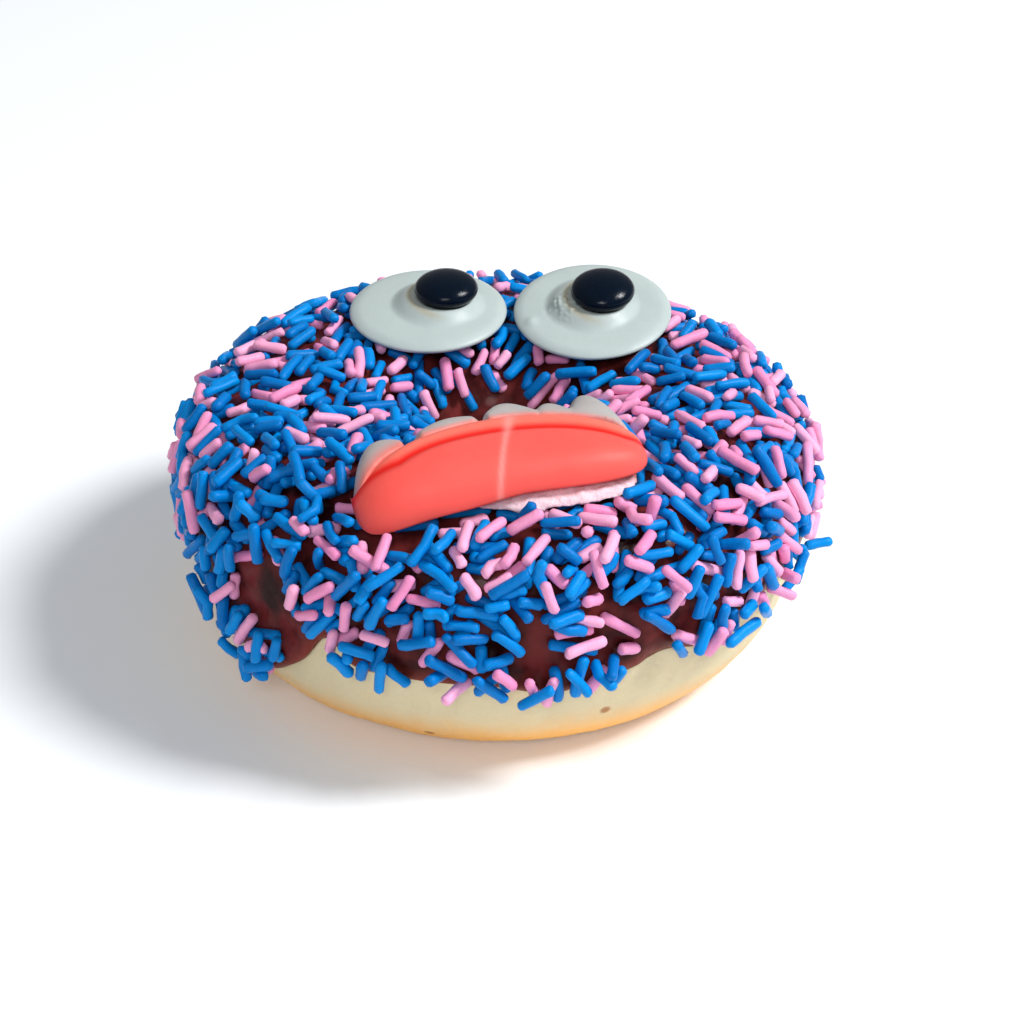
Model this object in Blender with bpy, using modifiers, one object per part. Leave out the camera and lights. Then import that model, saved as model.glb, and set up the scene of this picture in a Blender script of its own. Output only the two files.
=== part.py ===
"""A ring doughnut with chocolate icing and sprinkles, and a monster face of candy: two eyes and a mouth.

Metres, +Z up. The origin is at the middle of the hole, on the surface that the doughnut rests on.
The mouth is at -Y and the eyes are at +Y, so the face looks towards -Y.
"""
import math
import random

import bmesh
import bpy
from mathutils import Matrix, Vector

MM = 0.001
GAP = 0.3 * MM

# The dough ring. A low power makes a boxy quarter of its section: outer side, side in the hole, foot.
OUTER_RADIUS = 43.5 * MM
HOLE_RADIUS = 10.0 * MM
DOUGH_HEIGHT = 34.0 * MM
RING_RADIUS = (OUTER_RADIUS + HOLE_RADIUS) / 2
RING_HALF_WIDTH = (OUTER_RADIUS - HOLE_RADIUS) / 2
HALF_HEIGHT = DOUGH_HEIGHT / 2
OUTER_POWER = 0.6
INNER_POWER = 0.8
FOOT_POWER = 0.9
BOTTOM_FLATTENING = 0.8 * MM
# Slow waves round the ring: how many, where they start, and how far they go in and out.
UNEVEN_WAVES = (
    (2, 0.6, 0.35 * MM),
    (3, 2.1, 0.21 * MM),
)
DOUGH_AROUND = 32
DOUGH_ALONG = 20

# The icing, a thin skin from inside the hole to a wavy edge low on the outer side.
ICING_THICKNESS = 1.0 * MM
ICING_EDGE_HEIGHT = 16.0 * MM
# Its points lie on the dough's own rows, down to the row below half the height or a band above its edge.
ICING_AROUND = 2 * DOUGH_AROUND
ICING_INNER_ROW = 9
ROW_ANGLE = math.radians(360 / DOUGH_ALONG)
ICING_BANDS = ICING_INNER_ROW + 2
ICING_EDGE_BAND = math.radians(4)
ICING_INNER_ANGLE = ICING_INNER_ROW * ROW_ANGLE
# Each wave of the edge: its angle from the front, its half-width in degrees, and how far up it goes.
ICING_WAVES = (
    (-68, 7, 2.0 * MM),
    (-46, 10, -6.2 * MM),
    (-30, 3.5, 3.6 * MM),
    (10, 7, -1.4 * MM),
    (30, 5, 1.4 * MM),
    (62, 14, 2.0 * MM),
    (97, 10, -3.2 * MM),
    (125, 12, 1.2 * MM),
    (150, 10, -3.6 * MM),
    (-95, 10, -2.4 * MM),
    (-130, 11, -4.0 * MM),
    (-165, 12, 1.0 * MM),
)

# The sprinkles that are large enough for the solid, spread evenly from a seeded rule.
SPRINKLE_TRIES = 9000
SPRINKLE_RADIUS = 0.8 * MM
SPRINKLE_LONGEST = 6.4 * MM
SPRINKLE_SHORTEST = 4.6 * MM
SPRINKLE_SPACING = 6.15 * MM
SPRINKLE_SINK = 0.35 * MM
SPRINKLE_SIDES = 5
SPRINKLE_RINGS = 3
# A faceted rod is drawn a little thicker, to make up for its flat sides.
SPRINKLE_FACET_RADIUS = 1.2 * SPRINKLE_RADIUS
SPRINKLE_SEED = 11
SPRINKLE_EDGE_SHARE = 0.06
LOWEST_SPRINKLE_IN_HOLE = 28.0 * MM
# Leaning sprinkles carry the raised back of each eye: their bearings, and where they meet the disc.
PROP_BEARINGS = (40, 75, 105, 140)
PROP_REACH = 8.2 * MM
PROP_LEAN = 3.4 * MM

# The candy eyes: a thin domed disc with a low mound, and a dark lentil in the mound.
EYE_RADIUS = 11.6 * MM
EYE_DOME = 1.4 * MM
EYE_UNDERSIDE = 0.9 * MM
EYE_RIM = 0.45 * MM
EYE_RINGS = 6
EYE_SECTORS = 22
MOUND_RADIUS = 7.2 * MM
MOUND_HEIGHT = 1.4 * MM
MOUND_SLOPE = 2.8 * MM
PUPIL_RADIUS = 4.67 * MM
PUPIL_HALF_HEIGHT = 2.15 * MM
PUPIL_LIFT = 3.8 * MM
SEAT_GAP = 0.6 * MM
PUPIL_SEGMENTS = 16
PUPIL_RINGS = 8
# Each eye: centre, tilt towards the front, roll with the right side up, and the places of mound and pupil.
EYES = {
    "left": ((-9.8 * MM, 21.3 * MM, 38.1 * MM), 5.5, 0.0, 1.5 * MM, 2.7 * MM),
    "right": ((14.4 * MM, 20.5 * MM, 38.4 * MM), 11.0, 1.3, 0.0 * MM, 1.5 * MM),
}

# The candy mouth, in its own plan: a runs along its width and b from its front edge to its teeth.
MOUTH_CENTRE = (0.32 * MM, -28.17 * MM)
MOUTH_TURN = math.radians(14.2)
MOUTH_HALF_WIDTH = 19.5 * MM
MOUTH_CLEARANCE = 3.15 * MM
MOUTH_FRONT = 7.7 * MM
MOUTH_BACK = 8.0 * MM
MOUTH_BACK_FALL = 8.0 * MM
MOUTH_BACK_MIDDLE = 2.7 * MM
# Powers that make the outline's corners, and the ends and edges of its soft bodies, round.
FRONT_CORNERS = 4
BACK_CORNERS = 6
CORNER_SOFTNESS = 0.25
END_POWER = 4
END_SOFTNESS = 0.5
EDGE_POWER = 3.5
EDGE_SOFTNESS = 0.45
SLAB_COLUMNS = 18
GUM_ROWS = 18
BASE_ROWS = 10
SLAB_TOP_SHARE = 0.6

# The red gum: a broad face, a crease, and a band behind it. Its edge droops a little at the front left.
CREASE_CENTRE = 1.7 * MM
CREASE_MIDDLE = 2.2 * MM
CREASE_FALL = 4.9 * MM
CREASE_HALF_WIDTH = 17.0 * MM
CREASE_END_FALL = 3.8 * MM
CREASE_DEPTH = 0.7 * MM
CREASE_WIDTH = 1.1 * MM
GUM_CROWN = 4.6 * MM
DROOP = 0.9 * MM
DROOP_DEPTH = 5.0 * MM
DROOP_LEFT = -6.0 * MM
DROOP_RIGHT = 3.0 * MM
DROOP_SWELL = 0.55

# The white foam: a base under the gum, and teeth that stand behind it.
BASE_THICKNESS = 1.75 * MM
BASE_SCALE = 0.93
BASE_INSET = 1.6 * MM
BASE_LIP = 1.3 * MM
TEETH_HALF_WIDTH = 19.2 * MM
TEETH_HEIGHT = 5.4 * MM
TEETH_END_POWER = 16
TEETH_COLUMNS = 34
TEETH_WALL = 0.5 * MM
TEETH_LEDGE = 2.5 * MM
TEETH_LIFT = 0.15 * MM
LEDGE_HEIGHT = 1.3 * MM
VALLEY_REACH = 0.9 * MM
FULL_HEIGHT_REACH = 3.0 * MM
VALLEY_HEIGHT_SHARE = 0.3
# Stations from the gum to a tooth's tip at which the height of a tooth is given, and how it falls.
TOOTH_STATIONS = (0.03, 0.35, 0.65, 0.88, 1.0)
TOOTH_FALL = 3
# Each tooth: its place along the mouth, where its tip is, its half-width, and a power, low for a full tooth.
TEETH = (
    (-15.4 * MM, 8.0 * MM, 5.4 * MM, 1.4),
    (-5.0 * MM, 11.2 * MM, 7.4 * MM, 1.3),
    (4.0 * MM, 14.4 * MM, 5.4 * MM, 1.7),
    (9.9 * MM, 12.8 * MM, 3.6 * MM, 1.5),
    (16.2 * MM, 15.4 * MM, 5.8 * MM, 1.6),
)

TURN = 2 * math.pi


def signed_power(value, power):
    """A power that keeps the sign of its value."""
    return math.copysign(abs(value) ** power, value)


def bell(distance, width):
    """One at no distance, falling smoothly to nothing."""
    return math.exp(-(distance / width) ** 2)


def smooth_step(value):
    """Nothing at 0, one at 1, and smooth between."""
    value = min(1.0, max(0.0, value))
    return value * value * (3 - 2 * value)


def blunt(fraction, power, softness):
    """One in the middle at 0, falling to nothing at a fraction of 1 or -1."""
    return max(0.0, 1 - abs(fraction) ** power) ** softness


def profile_power(angle):
    """How round the section is there: in the hole, on the outer side, or at its foot."""
    if math.cos(angle) <= 0:
        return INNER_POWER
    return OUTER_POWER if math.sin(angle) > 0 else FOOT_POWER


def ring_profile(angle):
    """Radius and height of the dough at an angle round its section, with its outward direction."""
    power = profile_power(angle)
    half_height = HALF_HEIGHT if math.sin(angle) > 0 else HALF_HEIGHT + BOTTOM_FLATTENING
    radius = RING_RADIUS + RING_HALF_WIDTH * signed_power(math.cos(angle), power)
    height = HALF_HEIGHT + half_height * signed_power(math.sin(angle), power)
    outward = Vector((
        signed_power(math.cos(angle), 2 - power) / RING_HALF_WIDTH,
        signed_power(math.sin(angle), 2 - power) / half_height,
    )).normalized()
    return radius, height, outward


def ring_frame(around, angle, lift=0.0):
    """A point on the ring, lifted off the dough, and the direction that points out of the ring there."""
    radius, height, outward = ring_profile(angle)
    for count, phase, depth in UNEVEN_WAVES:
        lift += depth * math.sin(count * around + phase) * outward.x
    radius += lift * outward.x
    height += lift * outward.y
    side = Vector((math.sin(around), -math.cos(around), 0))
    point = side * radius + Vector((0, 0, height))
    normal = side * outward.x + Vector((0, 0, outward.y))
    return point, normal


def dough_point(around, angle):
    """The dough's surface, flat where it rests."""
    point, _ = ring_frame(around, angle)
    point.z = max(point.z, 0.0)
    return point


def icing_edge_height(around):
    """How high the icing's lower edge is on the outer side."""
    height = ICING_EDGE_HEIGHT
    for middle, half_width, rise in ICING_WAVES:
        distance = (math.degrees(around) - middle + 180) % 360 - 180
        height += rise * bell(distance, half_width)
    return height


def icing_edge_angle(around):
    """The angle round the section at which the outer side of the dough is as high as the edge."""
    rise = (icing_edge_height(around) - HALF_HEIGHT) / HALF_HEIGHT
    power = OUTER_POWER if rise > 0 else FOOT_POWER
    return math.asin(signed_power(rise, 1 / power))


def bent_grid(name, columns, rows, place):
    """A grid whose points are placed by a function of two fractions, with the points that meet merged."""
    mesh = bmesh.new()
    bmesh.ops.create_grid(mesh, x_segments=columns, y_segments=rows, size=0.5)
    for vertex in mesh.verts:
        vertex.co = place(vertex.co.x + 0.5, vertex.co.y + 0.5)
    bmesh.ops.remove_doubles(mesh, verts=mesh.verts, dist=0.01 * MM)
    bmesh.ops.recalc_face_normals(mesh, faces=mesh.faces)
    data = bpy.data.meshes.new(name)
    mesh.to_mesh(data)
    mesh.free()
    return bpy.data.objects.new(name, data)


def principled(name, colour, roughness):
    """A plain finish with the piece's colour."""
    material = bpy.data.materials.new(name)
    material.use_nodes = True
    shader = material.node_tree.nodes["Principled BSDF"]
    shader.inputs["Base Color"].default_value = (*colour, 1.0)
    shader.inputs["Roughness"].default_value = roughness
    shader.inputs["Metallic"].default_value = 0.0
    return material


def apply_modifiers(piece):
    """Make the piece's mesh what its modifiers show."""
    bpy.context.view_layer.update()
    evaluated = piece.evaluated_get(bpy.context.evaluated_depsgraph_get())
    data = bpy.data.meshes.new_from_object(evaluated)
    piece.modifiers.clear()
    piece.data = data


def join_to(piece, others):
    """Fuse the objects of a collection into the piece, and remove them."""
    union = piece.modifiers.new("Joined", "BOOLEAN")
    union.operation = "UNION"
    union.operand_type = "COLLECTION"
    union.collection = others
    union.solver = "EXACT"
    apply_modifiers(piece)
    for other in list(others.objects):
        bpy.data.objects.remove(other)
    keep_outer_shell(piece)


def keep_outer_shell(piece):
    """Fill the hollows that fusing has sealed, and drop loose scraps: the largest shell stays."""
    mesh = bmesh.new()
    mesh.from_mesh(piece.data)
    shells = []
    waiting = set(mesh.faces)
    while waiting:
        shell = {waiting.pop()}
        edge_of_shell = list(shell)
        while edge_of_shell:
            face = edge_of_shell.pop()
            for edge in face.edges:
                for neighbour in edge.link_faces:
                    if neighbour in waiting:
                        waiting.remove(neighbour)
                        shell.add(neighbour)
                        edge_of_shell.append(neighbour)
        shells.append(shell)
    shells.sort(key=len)
    for shell in shells[:-1]:
        bmesh.ops.delete(mesh, geom=list(shell), context="FACES")
    mesh.to_mesh(piece.data)
    mesh.free()


# Dough and icing

def make_dough():
    dough = bent_grid(
        "dough", DOUGH_AROUND, DOUGH_ALONG, lambda u, v: dough_point(TURN * u, TURN * v),
    )
    dough.data.materials.append(principled("baked dough", (0.80, 0.62, 0.36), 0.75))
    return dough


def icing_point(u, v):
    """The underside of the icing, just off the dough."""
    around = TURN * u
    row = round(v * ICING_BANDS)
    edge = icing_edge_angle(around)
    angle = max((row - 2) * ROW_ANGLE, edge + row * ICING_EDGE_BAND) if row > 0 else edge
    point, _ = ring_frame(around, angle, GAP)
    return point


def make_icing_skin():
    """The underside as an open surface, given its thickness outwards."""
    icing = bent_grid("icing", ICING_AROUND, ICING_BANDS, icing_point)
    icing.data.materials.append(principled("chocolate icing", (0.07, 0.022, 0.018), 0.25))
    solidify = icing.modifiers.new("Thickness", "SOLIDIFY")
    solidify.thickness = ICING_THICKNESS
    solidify.offset = 1.0 if skin_faces_out(icing) else -1.0
    return icing


def skin_faces_out(skin):
    """True if the first face of the skin points away from the middle of the ring's section."""
    face = skin.data.polygons[0]
    centre = Vector(face.center)
    heart = Vector((centre.x, centre.y, 0)).normalized() * RING_RADIUS + Vector((0, 0, HALF_HEIGHT))
    return face.normal.dot(centre - heart) > 0


# Sprinkles

def lay_sprinkle(around, angle, heading, length):
    """Both ends of a straight sprinkle that lies sunk a little in the icing."""
    lift = GAP + ICING_THICKNESS + SPRINKLE_RADIUS - SPRINKLE_SINK
    middle, normal = ring_frame(around, angle, lift)
    sideways = Vector((math.cos(around), math.sin(around), 0))
    direction = sideways * math.cos(heading) + normal.cross(sideways) * math.sin(heading)
    reach = direction * (length / 2)
    return middle - reach, middle + reach


def clear_of_candy(start, end):
    """True if the whole sprinkle keeps its gap to the eyes and the mouth."""
    for fraction in (0.0, 0.25, 0.5, 0.75, 1.0):
        point = start.lerp(end, fraction)
        if near_mouth(point) or any(near_eye(point, side) for side in EYES):
            return False
    return True


def lay_sprinkles():
    """The places of the large sprinkles: seeded draws, kept apart by an even spacing."""
    draw = random.Random(SPRINKLE_SEED)
    laid = []
    for step in range(SPRINKLE_TRIES):
        around = draw.uniform(0, TURN)
        share = draw.uniform(SPRINKLE_EDGE_SHARE, 1.0)
        heading = draw.uniform(0, math.pi)
        length = SPRINKLE_LONGEST + (SPRINKLE_SHORTEST - SPRINKLE_LONGEST) * step / SPRINKLE_TRIES
        edge = icing_edge_angle(around)
        angle = edge + (ICING_INNER_ANGLE - edge) * share
        radius, height, _ = ring_profile(angle)
        if radius < RING_RADIUS and height < LOWEST_SPRINKLE_IN_HOLE:
            continue
        start, end = lay_sprinkle(around, angle, heading, length)
        middle = (start + end) / 2
        crowded = any((middle - (a + b) / 2).length < SPRINKLE_SPACING for a, b in laid)
        if not crowded and clear_of_candy(start, end):
            laid.append((start, end))
    return laid


def prop_sprinkles():
    """Sprinkles that lean from the icing up to the underside of each eye's raised back."""
    props = []
    for side in EYES:
        for bearing in PROP_BEARINGS:
            direction = Vector((math.cos(math.radians(bearing)), math.sin(math.radians(bearing)), 0))
            underside = -lens_height(PROP_REACH, EYE_UNDERSIDE, EYE_RADIUS, EYE_RIM)
            below = Vector((0, 0, underside - GAP - SPRINKLE_FACET_RADIUS))
            top = eye_matrix(side) @ (direction * PROP_REACH + below)
            foot = top + direction.cross(Vector((0, 0, 1))) * PROP_LEAN
            foot.z = ring_top(math.hypot(foot.x, foot.y)) + GAP + ICING_THICKNESS
            props.append((foot, top))
    return props


def make_sprinkle(index, start, end, collection):
    """A faceted rod with blunt rounded ends: a coarse ball with its halves drawn apart."""
    mesh = bmesh.new()
    bmesh.ops.create_uvsphere(
        mesh, u_segments=SPRINKLE_SIDES, v_segments=SPRINKLE_RINGS, radius=SPRINKLE_FACET_RADIUS,
    )
    drawn = (end - start).length / 2 - SPRINKLE_RADIUS
    for vertex in mesh.verts:
        vertex.co.z += math.copysign(drawn, vertex.co.z)
    turn = (end - start).to_track_quat("Z", "Y").to_matrix().to_4x4()
    mesh.transform(Matrix.Translation((start + end) / 2) @ turn)
    data = bpy.data.meshes.new(f"sprinkle_{index}")
    mesh.to_mesh(data)
    mesh.free()
    sprinkle = bpy.data.objects.new(data.name, data)
    collection.objects.link(sprinkle)


# Eyes

def eye_matrix(side):
    """Place and tilt of an eye."""
    centre, tilt, roll, _, _ = EYES[side]
    return (
        Matrix.Translation(centre)
        @ Matrix.Rotation(math.radians(tilt), 4, "X")
        @ Matrix.Rotation(math.radians(-roll), 4, "Y")
    )


def lens_height(distance, middle, radius, rim):
    """Height of a dome that is thin at its rim."""
    fraction = min(1.0, distance / radius)
    return rim + (middle - rim) * (1 - fraction ** 2)


def eye_top(x, y, mound_x, pupil_x):
    """Upper side of an eye's disc: dome, mound and the seat of the pupil."""
    height = lens_height(math.hypot(x, y), EYE_DOME, EYE_RADIUS, EYE_RIM)
    from_mound = math.hypot(x - mound_x, y)
    height += MOUND_HEIGHT * smooth_step((MOUND_RADIUS - from_mound) / MOUND_SLOPE)
    from_pupil = math.hypot(x - pupil_x, y) / (PUPIL_RADIUS + SEAT_GAP)
    if from_pupil < 1:
        seat = PUPIL_LIFT - SEAT_GAP - PUPIL_HALF_HEIGHT * math.sqrt(1 - from_pupil ** 2)
        height = min(height, seat)
    return height


def near_eye(point, side):
    """True if a sprinkle's middle line is so close that the sprinkle would touch the eye."""
    local = eye_matrix(side).inverted() @ point
    room = SPRINKLE_FACET_RADIUS + GAP
    if math.hypot(local.x, local.y) > EYE_RADIUS + room:
        return False
    underside = -lens_height(math.hypot(local.x, local.y), EYE_UNDERSIDE, EYE_RADIUS, EYE_RIM)
    return local.z > underside - room


def make_eye_white(side):
    """A disc whose rings run from the middle of the mound to its rim, over and back under it."""
    _, _, _, mound_x, pupil_x = EYES[side]

    def place(u, v):
        bearing = TURN * u
        over = v < 0.5
        spread = 2 * v if over else 2 * (1 - v)
        reach = math.sqrt(spread) if over else spread
        x = mound_x * (1 - reach) + EYE_RADIUS * reach * math.cos(bearing)
        y = EYE_RADIUS * reach * math.sin(bearing)
        if over:
            return Vector((x, y, eye_top(x, y, mound_x, pupil_x)))
        return Vector((x, y, -lens_height(math.hypot(x, y), EYE_UNDERSIDE, EYE_RADIUS, EYE_RIM)))

    white = bent_grid(f"eye_white_{side}", EYE_SECTORS, 2 * EYE_RINGS, place)
    white.matrix_world = eye_matrix(side)
    return white


def make_pupil(side):
    """A lentil of dark candy in its seat."""
    _, _, _, _, pupil_x = EYES[side]
    mesh = bmesh.new()
    bmesh.ops.create_uvsphere(mesh, u_segments=PUPIL_SEGMENTS, v_segments=PUPIL_RINGS, radius=PUPIL_RADIUS)
    bmesh.ops.scale(mesh, verts=mesh.verts, vec=(1, 1, PUPIL_HALF_HEIGHT / PUPIL_RADIUS))
    data = bpy.data.meshes.new(f"pupil_{side}")
    mesh.to_mesh(data)
    mesh.free()
    pupil = bpy.data.objects.new(data.name, data)
    pupil.matrix_world = eye_matrix(side) @ Matrix.Translation((pupil_x, 0, PUPIL_LIFT))
    return pupil


# Mouth

def ring_top(radius):
    """Height of the dough's upper side at a distance from the middle of the hole."""
    fraction = min(1.0, abs(radius - RING_RADIUS) / RING_HALF_WIDTH)
    power = OUTER_POWER if radius > RING_RADIUS else INNER_POWER
    cosine = fraction ** (1 / power)
    return HALF_HEIGHT + HALF_HEIGHT * (1 - cosine ** 2) ** (power / 2)


def lay_on_ring(a, b, lift):
    """A point of the mouth: it droops over the ring's outer shoulder and spans its inner one."""
    x = MOUTH_CENTRE[0] + a * math.cos(MOUTH_TURN) - b * math.sin(MOUTH_TURN)
    y = MOUTH_CENTRE[1] + a * math.sin(MOUTH_TURN) + b * math.cos(MOUTH_TURN)
    return Vector((x, y, ring_top(max(RING_RADIUS, math.hypot(x, y))) + MOUTH_CLEARANCE + lift))


def mouth_plan(point):
    """The place of a world point in the mouth's own plan."""
    x = point.x - MOUTH_CENTRE[0]
    y = point.y - MOUTH_CENTRE[1]
    a = x * math.cos(MOUTH_TURN) + y * math.sin(MOUTH_TURN)
    b = y * math.cos(MOUTH_TURN) - x * math.sin(MOUTH_TURN)
    return a, b


def mouth_front(a):
    """Front edge: nearly straight, with round corners."""
    return -MOUTH_FRONT * blunt(a / MOUTH_HALF_WIDTH, FRONT_CORNERS, CORNER_SOFTNESS)


def mouth_back(a):
    """Back edge of the gum: an arch."""
    arch = MOUTH_BACK - MOUTH_BACK_FALL * ((a - MOUTH_BACK_MIDDLE) / MOUTH_HALF_WIDTH) ** 2
    return arch * blunt(a / MOUTH_HALF_WIDTH, BACK_CORNERS, CORNER_SOFTNESS)


def tooth_reach(a):
    """How far the teeth stand out behind their wall."""
    reach = VALLEY_REACH
    for place, tip, half_width, power in TEETH:
        reach = max(reach, (tip - mouth_back(place)) * blunt((a - place) / half_width, 2, power))
    return reach * blunt(a / TEETH_HALF_WIDTH, TEETH_END_POWER, END_SOFTNESS)


def near_mouth(point):
    """True if a sprinkle's middle line is so close that the sprinkle would touch the mouth."""
    a, b = mouth_plan(point)
    room = SPRINKLE_FACET_RADIUS + GAP
    if abs(a) > MOUTH_HALF_WIDTH + room or b < min(mouth_front(a), base_edges(a)[0]) - room:
        return False
    reach = max(tooth_reach(a + shift) for shift in (-room, 0, room))
    over_mouth = b < mouth_back(a) + TEETH_WALL + reach + room
    return over_mouth and point.z > lay_on_ring(a, b, 0).z - room


def droop(a):
    """How much of the droop the gum has: all of it at the left, none at the right."""
    return 1 - smooth_step((a - DROOP_LEFT) / (DROOP_RIGHT - DROOP_LEFT))


def gum_underside(a, b):
    """Height of the gum's underside, lowest at its front left."""
    from_front = smooth_step((b - mouth_front(a)) / DROOP_DEPTH)
    return BASE_THICKNESS + GAP - DROOP * droop(a) * (1 - from_front)


def gum_thickness(a, b):
    """Full thickness of the gum."""
    fall = CREASE_FALL * ((a - CREASE_CENTRE) / CREASE_HALF_WIDTH) ** 2
    crease = CREASE_MIDDLE - min(fall, CREASE_END_FALL)
    swell = DROOP_SWELL * (BASE_THICKNESS + GAP - gum_underside(a, b))
    return GUM_CROWN + swell - CREASE_DEPTH * bell(b - crease, CREASE_WIDTH)


def gum_edges(a):
    """Front and back edge of the gum."""
    return mouth_front(a), mouth_back(a)


def base_underside(a, b):
    """Height of the base's underside, which is level."""
    return 0.0


def base_thickness(a, b):
    """Full thickness of the base, which fills what the gum leaves."""
    return gum_underside(a, b) - GAP


def base_edges(a):
    """Front and back edge of the base: inside the gum's, but with a lip in front where nothing droops."""
    shape = -mouth_front(a / BASE_SCALE) / MOUTH_FRONT
    inset = BASE_INSET * droop(a) - BASE_LIP * (1 - droop(a))
    front = (inset - MOUTH_FRONT * BASE_SCALE) * shape
    return front, mouth_back(a / BASE_SCALE) * BASE_SCALE


def soft_slab(name, rows, half_width, edges, underside, thickness):
    """A closed body between two edges of the mouth's plan, with a round top and rounded ends."""
    def place(u, v):
        a = -half_width * math.cos(math.pi * u)
        front, back = edges(a)
        over = v < SLAB_TOP_SHARE
        if over:
            fraction = (1 - math.cos(math.pi * v / SLAB_TOP_SHARE)) / 2
        else:
            fraction = (1 - v) / (1 - SLAB_TOP_SHARE)
        b = front + (back - front) * fraction
        lift = underside(a, b)
        if over:
            rounding = blunt(2 * fraction - 1, EDGE_POWER, EDGE_SOFTNESS)
            lift += thickness(a, b) * rounding * blunt(a / half_width, END_POWER, END_SOFTNESS)
        return lay_on_ring(a, b, lift)

    return bent_grid(name, SLAB_COLUMNS, rows, place)


def make_gum():
    """The red gum on top of the base."""
    gum = soft_slab("mouth_gum", GUM_ROWS, MOUTH_HALF_WIDTH, gum_edges, gum_underside, gum_thickness)
    gum.data.materials.append(principled("red gum", (0.90, 0.10, 0.075), 0.35))
    return gum


def tooth_section(a):
    """The closed section of the teeth across their length: ledge, wall, humped top and tip."""
    reach = tooth_reach(a)
    ends = blunt(a / TEETH_HALF_WIDTH, TEETH_END_POWER, END_SOFTNESS)
    wall = mouth_back(a) + TEETH_WALL
    lowness = min(1.0, reach / FULL_HEIGHT_REACH)
    height = TEETH_HEIGHT * ends * (VALLEY_HEIGHT_SHARE + (1 - VALLEY_HEIGHT_SHARE) * lowness)
    section = [
        (wall - TEETH_LEDGE * ends, TEETH_LIFT),
        (wall - TEETH_LEDGE * ends, TEETH_LIFT + LEDGE_HEIGHT * ends),
        (wall, TEETH_LIFT + LEDGE_HEIGHT * ends),
    ]
    for station in TOOTH_STATIONS:
        rise = height * blunt(station, TOOTH_FALL, END_SOFTNESS)
        section.append((wall + reach * station, TEETH_LIFT + rise))
    return section + section[:1]


def make_teeth(doughnut, joined):
    """The white base of the mouth with its teeth, in one piece."""
    base_half_width = MOUTH_HALF_WIDTH * BASE_SCALE
    base = soft_slab("mouth_teeth", BASE_ROWS, base_half_width, base_edges, base_underside, base_thickness)
    base.data.materials.append(principled("white candy", (0.62, 0.60, 0.55), 0.5))
    doughnut.objects.link(base)
    rows = len(tooth_section(0.0)) - 1

    def place(u, v):
        a = TEETH_HALF_WIDTH * (2 * u - 1)
        return lay_on_ring(a, *tooth_section(a)[round(v * rows)])

    joined.objects.link(bent_grid("teeth", TEETH_COLUMNS, rows, place))
    join_to(base, joined)


def build():
    """Make the whole doughnut."""
    for old in list(bpy.data.objects):
        bpy.data.objects.remove(old)
    doughnut = bpy.data.collections.new("doughnut")
    joined = bpy.data.collections.new("joined pieces")
    bpy.context.scene.collection.children.link(doughnut)
    bpy.context.scene.collection.children.link(joined)

    doughnut.objects.link(make_dough())

    icing = make_icing_skin()
    doughnut.objects.link(icing)
    for index, (start, end) in enumerate(lay_sprinkles() + prop_sprinkles()):
        make_sprinkle(index, start, end, joined)
    join_to(icing, joined)

    white = principled("eye white candy", (0.60, 0.66, 0.62), 0.4)
    black = principled("black candy", (0.004, 0.006, 0.010), 0.12)
    for side in EYES:
        eye_white = make_eye_white(side)
        eye_white.data.materials.append(white)
        doughnut.objects.link(eye_white)
        pupil = make_pupil(side)
        pupil.data.materials.append(black)
        doughnut.objects.link(pupil)

    make_teeth(doughnut, joined)
    doughnut.objects.link(make_gum())

    bpy.data.collections.remove(joined)
    for piece in doughnut.objects:
        piece.data.shade_smooth()
        piece.data.set_sharp_from_angle(angle=math.radians(40))


build()
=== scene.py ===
import math
import random

import bmesh
import bpy
import numpy as np
from mathutils import Matrix, Vector, noise


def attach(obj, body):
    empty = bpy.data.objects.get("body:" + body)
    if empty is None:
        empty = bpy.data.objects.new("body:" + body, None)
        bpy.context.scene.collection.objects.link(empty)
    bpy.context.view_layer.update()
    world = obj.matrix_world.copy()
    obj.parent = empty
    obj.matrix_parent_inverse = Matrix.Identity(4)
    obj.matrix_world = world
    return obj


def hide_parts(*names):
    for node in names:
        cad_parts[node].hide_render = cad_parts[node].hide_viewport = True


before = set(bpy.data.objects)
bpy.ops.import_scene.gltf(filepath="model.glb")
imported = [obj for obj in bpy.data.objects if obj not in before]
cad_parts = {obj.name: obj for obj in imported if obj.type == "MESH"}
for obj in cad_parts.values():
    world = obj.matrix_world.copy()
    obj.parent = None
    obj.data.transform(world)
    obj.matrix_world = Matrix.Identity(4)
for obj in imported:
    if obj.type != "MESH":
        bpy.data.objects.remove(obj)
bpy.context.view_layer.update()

# The looks of a ring doughnut: baked dough, chocolate icing, blue and pink sprinkles, and a face of candy.
# Everything is in metres. The face looks towards -Y, with the mouth at -Y and the eyes at +Y.

BODY = "root"
MM = 0.001
GAP = 0.3 * MM
TURN = 2 * math.pi

# The ring, as the solids have it.
OUTER_RADIUS = 43.5 * MM
HOLE_RADIUS = 10.0 * MM
DOUGH_HEIGHT = 34.0 * MM
RING_RADIUS = (OUTER_RADIUS + HOLE_RADIUS) / 2
RING_HALF_WIDTH = (OUTER_RADIUS - HOLE_RADIUS) / 2
HALF_HEIGHT = DOUGH_HEIGHT / 2
OUTER_POWER = 0.6
INNER_POWER = 0.8
FOOT_POWER = 0.9
BOTTOM_FLATTENING = 0.8 * MM
# How many of each wave go round the ring, where it begins, and its depth.
UNEVEN_WAVES = (
    (2, 0.6, 0.35 * MM),
    (3, 2.1, 0.21 * MM),
)
# Height and size of the soft lumps and of the fine wrinkles.
DOUGH_LUMPS = (0.25 * MM, 11 * MM)
DOUGH_WRINKLES = (0.08 * MM, 1.9 * MM)

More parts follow.
